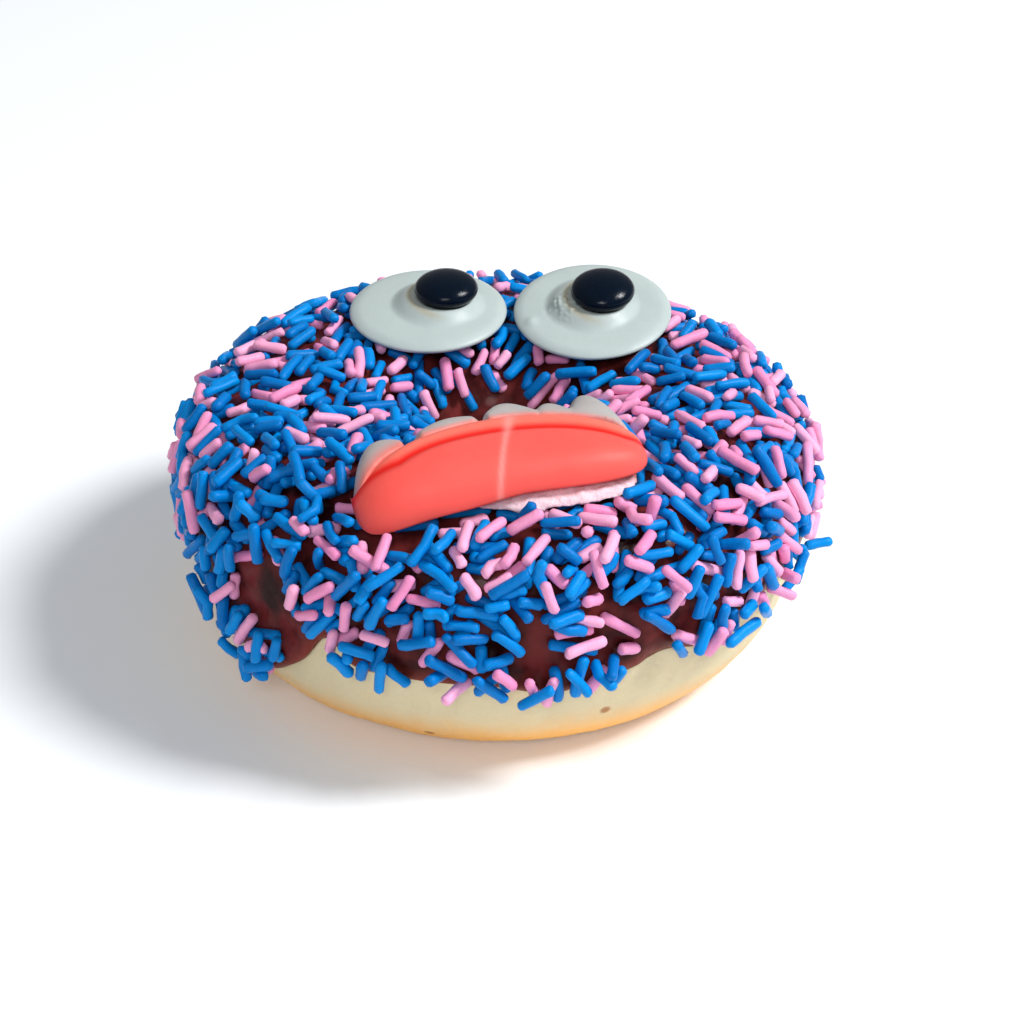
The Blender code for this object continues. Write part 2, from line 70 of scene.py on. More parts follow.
# The icing.
ICING_THICKNESS = 1.0 * MM
ICING_LIP = 1.3 * MM
ICING_EDGE_HEIGHT = 16.0 * MM
ICING_INNER_ANGLE = math.radians(162)
ICING_UNDER_SHARE = 0.25
ICING_ROW_POWER = 1.25
ICING_RIPPLE = (0.16 * MM, 6 * MM)
THIN_EDGE_WIDTH = 1.6 * MM
THIN_EDGE_STRENGTH = 0.8
# Waves of its lower edge: angle from the front and half-width in degrees, then rise.
ICING_WAVES = (
    (-68, 7, 2.0 * MM),
    (-46, 10, -6.2 * MM),
    (-30, 3.5, 3.6 * MM),
    (10, 7, -1.4 * MM),
    (30, 5, 1.4 * MM),
    (62, 14, 2.0 * MM),
    (97, 10, -3.2 * MM),
    (125, 12, 1.2 * MM),
    (150, 10, -3.6 * MM),
    (-95, 10, -2.4 * MM),
    (-130, 11, -4.0 * MM),
    (-165, 12, 1.0 * MM),
)

# The large sprinkles, which the solid has too, and the ones that prop up the backs of the eyes.
SPRINKLE_TRIES = 9000
SPRINKLE_RADIUS = 0.8 * MM
SPRINKLE_LONGEST = 6.4 * MM
SPRINKLE_SHORTEST = 4.6 * MM
SPRINKLE_SPACING = 6.15 * MM
SPRINKLE_SINK = 0.35 * MM
SPRINKLE_FACET_RADIUS = 1.2 * SPRINKLE_RADIUS
SPRINKLE_SEED = 11
SPRINKLE_EDGE_SHARE = 0.06
LOWEST_SPRINKLE_IN_HOLE = 28.0 * MM
PROP_BEARINGS = (40, 75, 105, 140)
PROP_REACH = 8.2 * MM
PROP_LEAN = 3.4 * MM

# The smaller sprinkles: shortest, longest and likeliest length, and how close each comes to its neighbours.
SMALL_SEED = 5
SMALL_LENGTHS = (2.4 * MM, 6.2 * MM, 4.0 * MM)
SMALL_ROOM = 0.84 * MM
LYING = 0.56 * MM
TOUCHING = 1.42 * MM
TOUCHING_MARGIN = 0.04 * MM
NEIGHBOUR_REACH = 8.0 * MM
SETTLE_STEPS = 14
SETTLE_SAMPLES = np.linspace(0.0, 1.0, 7)
FAR_END_LIFT = 0.3

# How many are tried lying flat and then heaped, and how high and how steeply they may lie.
# A pair of limits holds at the back and at the front.
FLAT_TRIES = 15000
HEAP_TRIES = 14000
HEAP_CHOICES = 4
HEAP_AT_BACK = 0.5
HEAP_TURN = 0.5
HEAP_JITTER = 1.6 * MM
FLAT_LIMIT = 0.85 * MM
TOP_LIMITS = (1.9 * MM, 3.3 * MM)
WALL_LIMITS = (0.9 * MM, 2.4 * MM)
SHOULDER_HEIGHT = 28.0 * MM
STEEPNESS_AT_BACK = 0.16
STEEPNESS_GAIN = 0.2
STANDING_SHARE = 0.08
STANDING_PITCHES = (0.5, 1.2)
LYING_PITCH = 0.05
FRONT_STRETCH = 1.6
FRONT_SHIFT = 0.3

# Where they lie: thick above one height, in clumps below it, and in a row along the icing's edge.
LOWEST_ANGLE = math.radians(-18)
PROFILE_STEPS = 400
ANGLE_CHOICES = 2000
DENSE_HEIGHT = 20.5 * MM
DENSE_REACH = 4.0 * MM
CLUMP_SIZE = 7.0 * MM
CLUMP_LEVEL = 0.06
CLUMP_LUCK = 0.3
EDGE_MARGIN = 1.1 * MM
EDGE_ROW_SHARE = 0.3
EDGE_ROW_WIDTH = 2.0 * MM
BARE_LEVEL = 0.25
BARE_LUCK = 0.5
BACK_OF_HOLE_HEIGHT = 29.0 * MM
BACK_OF_HOLE_COSINE = -0.5
BLUE_SHARE = 0.64
BLUE_SLANT = 0.12
# Where the chocolate shows: angle from the front, height, and half-width of the patch.
BARE_PATCHES = (
    (-42, 22.5 * MM, 7.5 * MM),
    (-33, 18.0 * MM, 5.0 * MM),
    (-14, 19.5 * MM, 3.4 * MM),
    (7, 21.5 * MM, 5.0 * MM),
    (19, 24.5 * MM, 4.6 * MM),
    (31, 23.0 * MM, 4.2 * MM),
    (26, 19.0 * MM, 5.4 * MM),
)

# How each sprinkle is drawn: a ball whose caps begin at a share of its height, drawn out and bent.
DRAWN_RADIUS = 0.75 * MM
DRAWN_SIDES = 8
DRAWN_RINGS = 8
CAP_LEVEL = 0.6
CAP_POWER = 2.8
CAP_DEPTH = 0.8
END_TRIM = 0.5
DRAWING_RATE = 1.7
JUST_OVER_ONE = 1.0001
LUMP_SIZE = 1.2 * MM
LUMP_HEIGHT = 0.45 * MM
THICKNESSES = (0.92, 1.1)
BROKEN_SHARE = 0.06
BROKEN_BENDS = (0.15, 0.28)
SLIGHT_BENDS = (0.0, 0.05)
BEND_DROOP = -0.3

# The candy eyes.
EYE_RADIUS = 11.6 * MM
EYE_DOME = 1.4 * MM
EYE_DOME_POWER = 0.6
EYE_UNDERSIDE = 0.9 * MM
EYE_RIM = 0.45 * MM
EYE_TOP_SHARE = 0.6
EYE_ROW_POWER = 0.7
EYE_ROUND_OVER = 0.14
EYE_ROUND_UNDER = 0.05
MOUND_RADIUS = 7.2 * MM
MOUND_HEIGHT = 1.4 * MM
MOUND_SLOPE = 2.8 * MM
PUPIL_RADIUS = 4.67 * MM
PUPIL_HALF_HEIGHT = 2.15 * MM
PUPIL_LIFT = 3.8 * MM
SEAT_GAP = 0.15 * MM
# Painted shade on an eye's white: a faint yellowish ring round the pupil, strongest on its left, where the
# pupil's shadow falls.
PUPIL_SHADE_OFFSET = 0.8 * MM
PUPIL_SHADE_WIDTH = 0.5 * MM
PUPIL_SHADE_END = 1 * MM
PUPIL_SHADE_FADE = 4 * MM
TORN_EYE = "right"
TORN_PLACE = Vector((-4.0 * MM, -1.5 * MM, 2.2 * MM))
TORN_REACH = 2.2 * MM
FLAKE_SIZE = 0.9 * MM
FLAKE_HEIGHT = 0.9 * MM
BUBBLE_PLACE = Vector((-9.0 * MM, -3.5 * MM, 0.8 * MM))
BUBBLE_WIDTH = 0.8 * MM
BUBBLE_HEIGHT = 0.35 * MM
# Centre, tilt back and roll in degrees, then how far to the right its mound and its pupil sit.
EYES = {
    "left": ((-9.8 * MM, 21.3 * MM, 38.1 * MM), 5.5, 0.0, 1.5 * MM, 2.7 * MM),
    "right": ((14.4 * MM, 20.5 * MM, 38.4 * MM), 11.0, 1.3, 0.0, 1.5 * MM),
}

# The candy mouth, in its own plan: a runs along its width and b from its front edge to its teeth.
MOUTH_CENTRE = (0.32 * MM, -28.17 * MM)
MOUTH_TURN = math.radians(14.2)
MOUTH_HALF_WIDTH = 19.5 * MM
MOUTH_CLEARANCE = 3.15 * MM
MOUTH_FRONT = 7.7 * MM
MOUTH_BACK = 8.0 * MM
MOUTH_BACK_FALL = 8.0 * MM
MOUTH_BACK_MIDDLE = 2.7 * MM
FRONT_CORNERS = 4
BACK_CORNERS = 6
CORNER_SOFTNESS = 0.25
END_POWER = 4
END_SOFTNESS = 0.5
EDGE_POWER = 3.5
EDGE_SOFTNESS = 0.45
SLAB_TOP_SHARE = 0.6
RIM_SHARE = 0.14
CREASE_CENTRE = 1.7 * MM
CREASE_MIDDLE = 2.2 * MM
CREASE_FALL = 4.9 * MM
CREASE_HALF_WIDTH = 17.0 * MM
CREASE_END_FALL = 3.8 * MM
CREASE_DEPTH = 0.5 * MM
CREASE_WIDTH = 1.1 * MM
# How wide the painted shade along the crease is: a darker red where shade falls in the groove.
CREASE_SHADE_WIDTH = CREASE_WIDTH * 0.75
GUM_CROWN = 4.6 * MM
DROOP = 0.9 * MM
DROOP_DEPTH = 5.0 * MM
DROOP_LEFT = -6.0 * MM
DROOP_RIGHT = 3.0 * MM
DROOP_SWELL = 0.55
SEAM_START = 1.2 * MM
SEAM_SLANT = 0.35
SEAM_WIDTH = 0.4 * MM
SEAM_FLARE = 1.2
SEAM_FLARE_START = -2 * MM
SEAM_FLARE_LENGTH = 9 * MM
BASE_THICKNESS = 1.75 * MM
BASE_SCALE = 0.93
BASE_INSET = 1.6 * MM
BASE_LIP = 1.3 * MM
TEETH_HALF_WIDTH = 19.2 * MM
TEETH_HEIGHT = 5.4 * MM
TEETH_END_POWER = 16
TEETH_WALL = 0.5 * MM
TEETH_ROOT = 1.4 * MM
TEETH_LEDGE = 2.5 * MM
TEETH_LIFT = 0.15 * MM
LEDGE_HEIGHT = 1.3 * MM
VALLEY_REACH = 0.9 * MM
FULL_HEIGHT_REACH = 3.0 * MM
VALLEY_HEIGHT_SHARE = 0.3
TOOTH_STEPS = 20
TOOTH_FALL = 3
VOXEL_SIZE = 0.28 * MM
SMOOTHING_ROUNDS = 6
FOAM_CRUMBS = (0.3 * MM, 1.1 * MM)
CRUMBS_BEGIN = 3 * MM
CRUMBS_FADE = 3 * MM
BLUSH_WIDTH = 1.0 * MM
BLUSH_GROWTH = 1.2 * MM
BLUSH_LEFT = -15 * MM
BLUSH_FADE = 11 * MM
# Each tooth: place along the mouth, reach of its tip, half-width, and how pointed it is.
TEETH = (
    (-15.4 * MM, 8.0 * MM, 5.4 * MM, 1.4),
    (-5.0 * MM, 11.2 * MM, 7.4 * MM, 1.3),
    (4.0 * MM, 14.4 * MM, 5.4 * MM, 1.7),
    (9.9 * MM, 12.8 * MM, 3.6 * MM, 1.5),
    (16.2 * MM, 15.4 * MM, 5.8 * MM, 1.6),
)

# The camera, as fitted to the photograph, and what stands round the doughnut.
CAMERA_TARGET = Vector((0, 0, 17 * MM))
CAMERA_DISTANCE = 349 * MM
CAMERA_ELEVATION = math.radians(30)
CAMERA_LENS = 85.0
CAMERA_SHIFT = (17.4 / 1024, -5.5 / 1024)
FLOOR_HALF_WIDTH = 3.0
ROOM_STRENGTH = 0.3


# Shapes of the ring

def signed_power(value, power):
    """A power that keeps the sign of its value."""
    return math.copysign(abs(value) ** power, value)


def bell(distance, width):
    """One at no distance, falling smoothly to nothing."""
    return math.exp(-(distance / width) ** 2)


def smooth_step(value):
    """Nothing at 0, one at 1, and smooth between."""
    value = min(1.0, max(0.0, value))
    return value * value * (3 - 2 * value)


def blunt(fraction, power, softness):
    """One in the middle at 0, falling to nothing at a fraction of 1 or -1."""
    return max(0.0, 1 - abs(fraction) ** power) ** softness


def relief(point, height, size):
    """Uneven lumps of that height and size."""
    return height * noise.noise(point / size)


def profile_power(angle):
    """How round the section is there: in the hole, on the outer side, or at its foot."""
    if math.cos(angle) <= 0:
        return INNER_POWER
    return OUTER_POWER if math.sin(angle) > 0 else FOOT_POWER


def ring_profile(angle):
    """Radius and height of the dough at an angle round its section, with its outward direction."""
    power = profile_power(angle)
    half_height = HALF_HEIGHT if math.sin(angle) > 0 else HALF_HEIGHT + BOTTOM_FLATTENING
    radius = RING_RADIUS + RING_HALF_WIDTH * signed_power(math.cos(angle), power)
    height = HALF_HEIGHT + half_height * signed_power(math.sin(angle), power)
    outward = Vector((
        signed_power(math.cos(angle), 2 - power) / RING_HALF_WIDTH,
        signed_power(math.sin(angle), 2 - power) / half_height,
    )).normalized()
    return radius, height, outward


def ring_frame(around, angle, lift=0.0):
    """A point on the ring, lifted off the dough, and the direction that points out of the ring there."""
    radius, height, outward = ring_profile(angle)
    for count, phase, depth in UNEVEN_WAVES:
        lift += depth * math.sin(count * around + phase) * outward.x
    radius += lift * outward.x
    height += lift * outward.y
    side = Vector((math.sin(around), -math.cos(around), 0))
    point = side * radius + Vector((0, 0, height))
    normal = side * outward.x + Vector((0, 0, outward.y))
    return point, normal


def icing_edge_height(around):
    """How high the icing's lower edge is on the outer side."""
    height = ICING_EDGE_HEIGHT
    for middle, half_width, rise in ICING_WAVES:
        distance = (math.degrees(around) - middle + 180) % 360 - 180
        height += rise * bell(distance, half_width)
    return height


def icing_edge_angle(around):
    """The angle round the section at which the outer side of the dough is as high as the edge."""
    rise = (icing_edge_height(around) - HALF_HEIGHT) / HALF_HEIGHT
    power = OUTER_POWER if rise > 0 else FOOT_POWER
    return math.asin(signed_power(rise, 1 / power))


def ring_top(radius):
    """Height of the dough's upper side at a distance from the middle of the hole."""
    fraction = min(1.0, abs(radius - RING_RADIUS) / RING_HALF_WIDTH)
    power = OUTER_POWER if radius > RING_RADIUS else INNER_POWER
    cosine = fraction ** (1 / power)
    return HALF_HEIGHT + HALF_HEIGHT * (1 - cosine ** 2) ** (power / 2)


# Making and finishing pieces

def new_object(name, data):
    piece = bpy.data.objects.new(name, data)
    bpy.context.scene.collection.objects.link(piece)
    return piece


def mesh_object(name, mesh):
    """A new object that takes over a mesh under construction."""
    data = bpy.data.meshes.new(name)
    mesh.to_mesh(data)
    mesh.free()
    return new_object(name, data)


def bent_grid(name, columns, rows, place):
    """A grid whose points are placed by a function of two fractions, with the points that meet merged."""
    mesh = bmesh.new()
    bmesh.ops.create_grid(mesh, x_segments=columns, y_segments=rows, size=0.5)
    for vertex in mesh.verts:
        vertex.co = place(vertex.co.x + 0.5, vertex.co.y + 0.5)
    bmesh.ops.remove_doubles(mesh, verts=mesh.verts, dist=0.003 * MM)
    bmesh.ops.recalc_face_normals(mesh, faces=mesh.faces)
    return mesh_object(name, mesh)


def plain_mesh(piece):
    """Swap the piece's mesh for what its modifiers make of it, and drop the modifiers."""
    bpy.context.view_layer.update()
    evaluated = piece.evaluated_get(bpy.context.evaluated_depsgraph_get())
    data = bpy.data.meshes.new_from_object(evaluated)
    piece.modifiers.clear()
    piece.data = data


def paint_points(piece, name, value_at):
    """Store one number for each point of the piece, for its finish to read."""
    attribute = piece.data.attributes.new(name, "FLOAT", "POINT")
    values = [value_at(vertex.co) for vertex in piece.data.vertices]
    attribute.data.foreach_set("value", values)


def push_points(piece, distance_at):
    """Move each point along its normal by a distance worked out from its place."""
    normals = [vertex.normal.copy() for vertex in piece.data.vertices]
    for vertex, normal in zip(piece.data.vertices, normals):
        vertex.co += normal * distance_at(vertex.co)


def finish_piece(piece, material, node):
    """Give the piece its finish and its body, and hide the solid that it stands for."""
    piece.data.materials.clear()
    piece.data.materials.append(material)
    piece.data.shade_smooth()
    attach(piece, BODY)
    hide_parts(node)


# Finishes

class Wire:
    """A socket in a node tree. Arithmetic on wires and numbers adds Math nodes."""

    def __init__(self, tree, socket):
        self.tree = tree
        self.socket = socket

    def math(self, operation, *values):
        tree = Tree(self.tree)
        node = tree.node("ShaderNodeMath", {"operation": operation})
        for socket, value in zip(node.inputs, values):
            tree.feed(socket, value)
        return Wire(self.tree, node.outputs[0])

    __add__ = __radd__ = lambda self, other: self.math("ADD", self, other)
    __mul__ = __rmul__ = lambda self, other: self.math("MULTIPLY", self, other)
    __sub__ = lambda self, other: self.math("SUBTRACT", self, other)
    __rsub__ = lambda self, other: self.math("SUBTRACT", other, self)
    __truediv__ = lambda self, other: self.math("DIVIDE", self, other)
    __rtruediv__ = lambda self, other: self.math("DIVIDE", other, self)
    __pow__ = lambda self, other: self.math("POWER", self, other)
    at_least = lambda self, low: self.math("MAXIMUM", self, low)
    at_most = lambda self, high: self.math("MINIMUM", self, high)
    absolute = lambda self: self.math("ABSOLUTE", self)
    sign = lambda self: self.math("SIGN", self)

    def above(self, low, high):
        """Nothing at the low value, one at the high value, and smooth between."""
        smooth = {"interpolation_type": "SMOOTHSTEP"}
        return Tree(self.tree).add("ShaderNodeMapRange", smooth, Value=self, From_Min=low, From_Max=high)


class Tree:
    """A node tree being written. A node is made from its type, settings, and socket values or links."""

    def __init__(self, tree):
        self.tree = tree

    def node(self, kind, settings=None, **sockets):
        node = self.tree.nodes.new(kind)
        for name, value in (settings or {}).items():
            setattr(node, name, value)
        for name, value in sockets.items():
            self.feed(node.inputs[name.replace("_", " ")], value)
        return node

    def add(self, kind, settings=None, output=0, **sockets):
        """A node made in the same way, as the wire from one of its outputs."""
        return Wire(self.tree, self.node(kind, settings, **sockets).outputs[output])

    def feed(self, socket, value):
        if isinstance(value, Wire):
            self.tree.links.new(value.socket, socket)
        else:
            socket.default_value = value


class Finish(Tree):
    """A Principled material being written. Its constants are named after the shader's sockets."""

    def __init__(self, name, **constants):
        self.material = bpy.data.materials.new(name)
        self.material.use_nodes = True
        super().__init__(self.material.node_tree)
        self.shader = self.tree.nodes["Principled BSDF"]
        self.place = self.add("ShaderNodeTexCoord", output="Object")
        for name, value in constants.items():
            self.feed(self.shader.inputs[name.replace("_", " ")], value)

    def noise(self, size, detail=3.0, roughness=0.55):
        """Cloudy noise from 0 to 1, with features of that size."""
        return self.add(
            "ShaderNodeTexNoise", Vector=self.place, Scale=1 / size, Detail=detail, Roughness=roughness,
        )

    def cells(self, size):
        """Distance to the nearest of many scattered points, which are about that size apart."""
        return self.add("ShaderNodeTexVoronoi", Vector=self.place, Scale=1 / size)

    def painted(self, name):
        return self.add("ShaderNodeAttribute", {"attribute_name": name}, output="Fac")

    def axis(self, letter):
        return self.add("ShaderNodeSeparateXYZ", output=letter, Vector=self.place)

    def mix(self, amount, first, second):
        """A blend of two colours."""
        node = self.node("ShaderNodeMix", {"data_type": "RGBA"})
        for index, value in {0: amount, 6: first, 7: second}.items():
            self.feed(node.inputs[index], value)
        return Wire(self.tree, node.outputs[2])

    def done(self, colour, roughness, height=None, depth=0.1 * MM):
        """Feed what varies over the surface, and return the material."""
        self.feed(self.shader.inputs["Base Color"], colour)
        self.feed(self.shader.inputs["Roughness"], roughness)
        if height is not None:
            bump = self.add("ShaderNodeBump", output="Normal", Height=height, Distance=depth, Strength=1.0)
            self.feed(self.shader.inputs["Normal"], bump)
        return self.material


def srgb(red, green, blue):
    """A colour as a screen shows it, from 0 to 255, as light."""
    def linear(value):
        value /= 255
        return value / 12.92 if value <= 0.04045 else ((value + 0.055) / 1.055) ** 2.4
    return (linear(red), linear(green), linear(blue), 1.0)


def dough_finish():
    """Pale crumb, golden along its foot, with small pores and a few brown specks."""
    finish = Finish(
        "baked_dough", Specular_IOR_Level=0.3,
        Subsurface_Weight=0.12, Subsurface_Scale=2.0 * MM, Subsurface_Radius=(1.0, 0.6, 0.3),
    )
    height = finish.axis("Z")
    clouds = finish.noise(9 * MM, 4.0)
    fine = finish.noise(2.5 * MM, 3.0)
    baked = 1 - (height + clouds * 4 * MM + fine * 2 * MM).above(6.0 * MM, 13.5 * MM)
    specks = 1 - finish.cells(11 * MM).above(0.04, 0.09)
    colour = finish.mix(clouds, srgb(211, 196, 160), srgb(229, 214, 175))
    colour = finish.mix(baked * 0.95, colour, srgb(252, 184, 90))
    colour = finish.mix(clouds.above(0.5, 0.75) * 0.35, colour, srgb(226, 186, 124))
    colour = finish.mix(specks * 0.8, colour, srgb(164, 98, 44))
    pores = finish.noise(0.9 * MM, 4.0, 0.7) + finish.noise(3.0 * MM, 2.0) * 1.6
    return finish.done(colour, 0.5 + clouds * 0.2, pores, 0.25 * MM)


def icing_finish():
    """Dark chocolate, redder where its edge is thin, with soft streaks in its gloss."""
    finish = Finish("chocolate_icing", Coat_Weight=0.06, Coat_Roughness=0.12, Specular_IOR_Level=0.06)
    clouds = finish.noise(7 * MM)
    edge = finish.painted("edge")
    colour = finish.mix(clouds.above(0.35, 0.65), srgb(38, 8, 8), srgb(108, 40, 39))
    colour = finish.mix(edge, colour, srgb(124, 54, 42))
    ripples = finish.noise(2.2 * MM, 3.0) + finish.noise(5 * MM, 2.0) * 2
    return finish.done(colour, 0.24 + clouds * 0.2, ripples, 0.2 * MM)


def sprinkle_finish(name, deep, light):
    """Waxy sugar whose tone differs a little from one sprinkle to the next."""
    finish = Finish(name, Specular_IOR_Level=0.12)
    tone = finish.painted("tone")
    dust = finish.noise(0.45 * MM, 4.0, 0.7)
    colour = finish.mix(tone * 0.6 + dust * 0.5, srgb(*deep), srgb(*light))
    return finish.done(colour, 0.24 + dust * 0.2, dust, 0.06 * MM)


def eye_white_finish():
    """Greenish white candy, with painted shade beside the pupil: a faint yellowish ring, strongest on its
    left, where the pupil's shadow falls.
    """
    finish = Finish(
        "eye_white_candy", Specular_IOR_Level=0.3,
        Subsurface_Weight=0.2, Subsurface_Scale=2.0 * MM, Subsurface_Radius=(1.0, 0.9, 0.8),
    )
    clouds = finish.noise(6 * MM)
    colour = finish.mix(clouds, srgb(172, 185, 184), srgb(187, 200, 198))
    # Painted shade: the ring round the pupil, where its shadow falls on the white.
    colour = finish.mix(finish.painted("pupil_shade") * 0.75, colour, srgb(176, 170, 146))
    return finish.done(colour, 0.34 + clouds * 0.12, finish.noise(1.5 * MM), 0.05 * MM)


def pupil_finish():
    """Polished near-black candy with a fine grain."""
    finish = Finish("black_candy", Specular_IOR_Level=0.15)
    grain = finish.noise(0.5 * MM, 4.0)
    colour = finish.mix(grain, srgb(0, 8, 20), srgb(2, 18, 36))
    return finish.done(colour, 0.14 + grain * 0.12, grain, 0.03 * MM)


def gum_finish():
    """Coral jelly, with painted shade in its crease as a darker, deeper red, and a pale seam down its
    middle.
    """
    finish = Finish(
        "red_gum", Specular_IOR_Level=0.18,
        Subsurface_Weight=0.3, Subsurface_Scale=1.6 * MM, Subsurface_Radius=(1.0, 0.35, 0.25),
    )
    clouds = finish.noise(8 * MM)
    colour = finish.mix(clouds, srgb(247, 86, 78), srgb(251, 101, 93))
    colour = finish.mix(finish.painted("band") * 0.85, colour, srgb(247, 122, 104))
    # Painted shade: a darker red along the crease.
    colour = finish.mix(finish.painted("crease"), colour, srgb(228, 30, 22))
    colour = finish.mix(finish.painted("seam") * 0.5, colour, srgb(252, 172, 166))
    return finish.done(colour, 0.4 + clouds * 0.12, finish.noise(1.2 * MM), 0.05 * MM)


def teeth_finish():
    """Foamed sugar: greyish white, pinker and rougher at its crumbly front, and red beside the gum."""
    finish = Finish(
        "white_foam_candy", Specular_IOR_Level=0.3, Subsurface_Weight=0.15, Subsurface_Scale=1.5 * MM,
    )
    front = finish.painted("front")
    clouds = finish.noise(5 * MM)
    colour = finish.mix(clouds, srgb(164, 158, 158), srgb(190, 187, 184))
    colour = finish.mix(front, colour, srgb(246, 212, 222))
    colour = finish.mix(finish.painted("blush") * 0.9, colour, srgb(238, 100, 86))
    crumbs = finish.noise(0.8 * MM, 4.0, 0.7) * (front * 0.9 + 0.1)
    return finish.done(colour, 0.45 + front * 0.3, crumbs, 0.3 * MM)


# Dough and icing

def make_dough():
    """The ring with a baked surface: soft lumps and fine wrinkles."""
    def place(u, v):
        point, normal = ring_frame(TURN * u, TURN * v)
        lumps = relief(point, *DOUGH_LUMPS) + relief(point, *DOUGH_WRINKLES)
        point += normal * (lumps - DOUGH_WRINKLES[0])
        point.z = max(point.z, 0.0)
        return point

    dough = bent_grid("dough_ring", columns=280, rows=110, place=place)
    finish_piece(dough, dough_finish(), "dough")


def make_icing():
    """A skin with a rounded lip along its wavy edge."""
    lip_angle = ICING_LIP / HALF_HEIGHT

    def place(u, v):
        around = TURN * u
        edge = icing_edge_angle(around)
        span = ICING_INNER_ANGLE - edge
        if v < ICING_UNDER_SHARE:
            point, _ = ring_frame(around, ICING_INNER_ANGLE - span * v / ICING_UNDER_SHARE, GAP)
            return point
        share = ((v - ICING_UNDER_SHARE) / (1 - ICING_UNDER_SHARE)) ** ICING_ROW_POWER
        angle = edge + span * share
        from_edge = min(1.0, (angle - edge) / lip_angle, (ICING_INNER_ANGLE - angle) / lip_angle)
        rounded = math.sqrt(1 - (1 - max(0.0, from_edge)) ** 2)
        point, normal = ring_frame(around, angle, GAP + ICING_THICKNESS * rounded)
        return point + normal * (relief(point, *ICING_RIPPLE) * rounded)

    icing = bent_grid("icing_skin", columns=360, rows=120, place=place)

    def edge_colour(point):
        around = math.atan2(point.x, -point.y)
        outer = math.hypot(point.x, point.y) > RING_RADIUS
        above = point.z - icing_edge_height(around)
        return bell(max(0.0, above), THIN_EDGE_WIDTH) * THIN_EDGE_STRENGTH if outer else 0.0

    paint_points(icing, "edge", edge_colour)
    finish_piece(icing, icing_finish(), "icing")


# Sprinkles

def eye_underside(distance):
    """Height of an eye's underside at a distance from its middle, where it is deepest."""
    fraction = min(1.0, distance / EYE_RADIUS)
    return -EYE_RIM - (EYE_UNDERSIDE - EYE_RIM) * (1 - fraction ** 2)


def eye_matrix(side):
    """Place and tilt of an eye."""
    centre, tilt, roll, _, _ = EYES[side]
    return (
        Matrix.Translation(centre)
        @ Matrix.Rotation(math.radians(tilt), 4, "X")
        @ Matrix.Rotation(math.radians(-roll), 4, "Y")
    )


EYE_INVERSES = {side: eye_matrix(side).inverted() for side in EYES}


def near_eye(point, side, room):
    """True if a sprinkle's middle line is so close that the sprinkle would touch the eye."""
    local = EYE_INVERSES[side] @ point
    distance = math.hypot(local.x, local.y)
    return distance <= EYE_RADIUS + room and local.z > eye_underside(distance) - room


def lay_on_ring(a, b, lift):
    """A point of the mouth: it droops over the ring's outer shoulder and spans its inner one."""
    x = MOUTH_CENTRE[0] + a * math.cos(MOUTH_TURN) - b * math.sin(MOUTH_TURN)
    y = MOUTH_CENTRE[1] + a * math.sin(MOUTH_TURN) + b * math.cos(MOUTH_TURN)
    return Vector((x, y, ring_top(max(RING_RADIUS, math.hypot(x, y))) + MOUTH_CLEARANCE + lift))


def mouth_plan(point):
    """The place of a world point in the mouth's own plan."""
    x = point.x - MOUTH_CENTRE[0]
    y = point.y - MOUTH_CENTRE[1]
    a = x * math.cos(MOUTH_TURN) + y * math.sin(MOUTH_TURN)
    b = y * math.cos(MOUTH_TURN) - x * math.sin(MOUTH_TURN)
    return a, b


def mouth_front(a):
    """Front edge: nearly straight, with round corners."""
    return -MOUTH_FRONT * blunt(a / MOUTH_HALF_WIDTH, FRONT_CORNERS, CORNER_SOFTNESS)


def mouth_back(a):
    """Back edge of the gum: an arch."""
    arch = MOUTH_BACK - MOUTH_BACK_FALL * ((a - MOUTH_BACK_MIDDLE) / MOUTH_HALF_WIDTH) ** 2
    return arch * blunt(a / MOUTH_HALF_WIDTH, BACK_CORNERS, CORNER_SOFTNESS)


def tooth_reach(a):
    """How far the teeth stand out behind their wall."""
    reach = VALLEY_REACH
    for place, tip, half_width, power in TEETH:
        reach = max(reach, (tip - mouth_back(place)) * blunt((a - place) / half_width, 2, power))
    return reach * blunt(a / TEETH_HALF_WIDTH, TEETH_END_POWER, END_SOFTNESS)


def near_mouth(point, room):
    """True if a sprinkle's middle line is so close that the sprinkle would touch the mouth."""
    a, b = mouth_plan(point)
    if abs(a) > MOUTH_HALF_WIDTH + room or b < min(mouth_front(a), base_edges(a)[0]) - room:
        return False
    reach = max(tooth_reach(a + shift) for shift in (-room, 0, room))
    over_mouth = b < mouth_back(a) + TEETH_WALL + reach + room
    return over_mouth and point.z > lay_on_ring(a, b, 0).z - room


def clear_of_candy(start, end, room):
    """True if the whole sprinkle keeps its gap to the eyes and the mouth."""
    for fraction in (0.0, 0.25, 0.5, 0.75, 1.0):
        point = start.lerp(end, fraction)
        if near_mouth(point, room) or any(near_eye(point, side, room) for side in EYES):
            return False
    return True


def along_surface(around, normal, heading):
    """The direction that runs along the ring's surface at a heading."""
    sideways = Vector((math.cos(around), math.sin(around), 0))
    return sideways * math.cos(heading) + normal.cross(sideways) * math.sin(heading)


def lay_sprinkle(around, angle, heading, length):
    """Both ends of a straight sprinkle that lies sunk a little in the icing."""
    lift = GAP + ICING_THICKNESS + SPRINKLE_RADIUS - SPRINKLE_SINK
    middle, normal = ring_frame(around, angle, lift)
    reach = along_surface(around, normal, heading) * (length / 2)
    return middle - reach, middle + reach


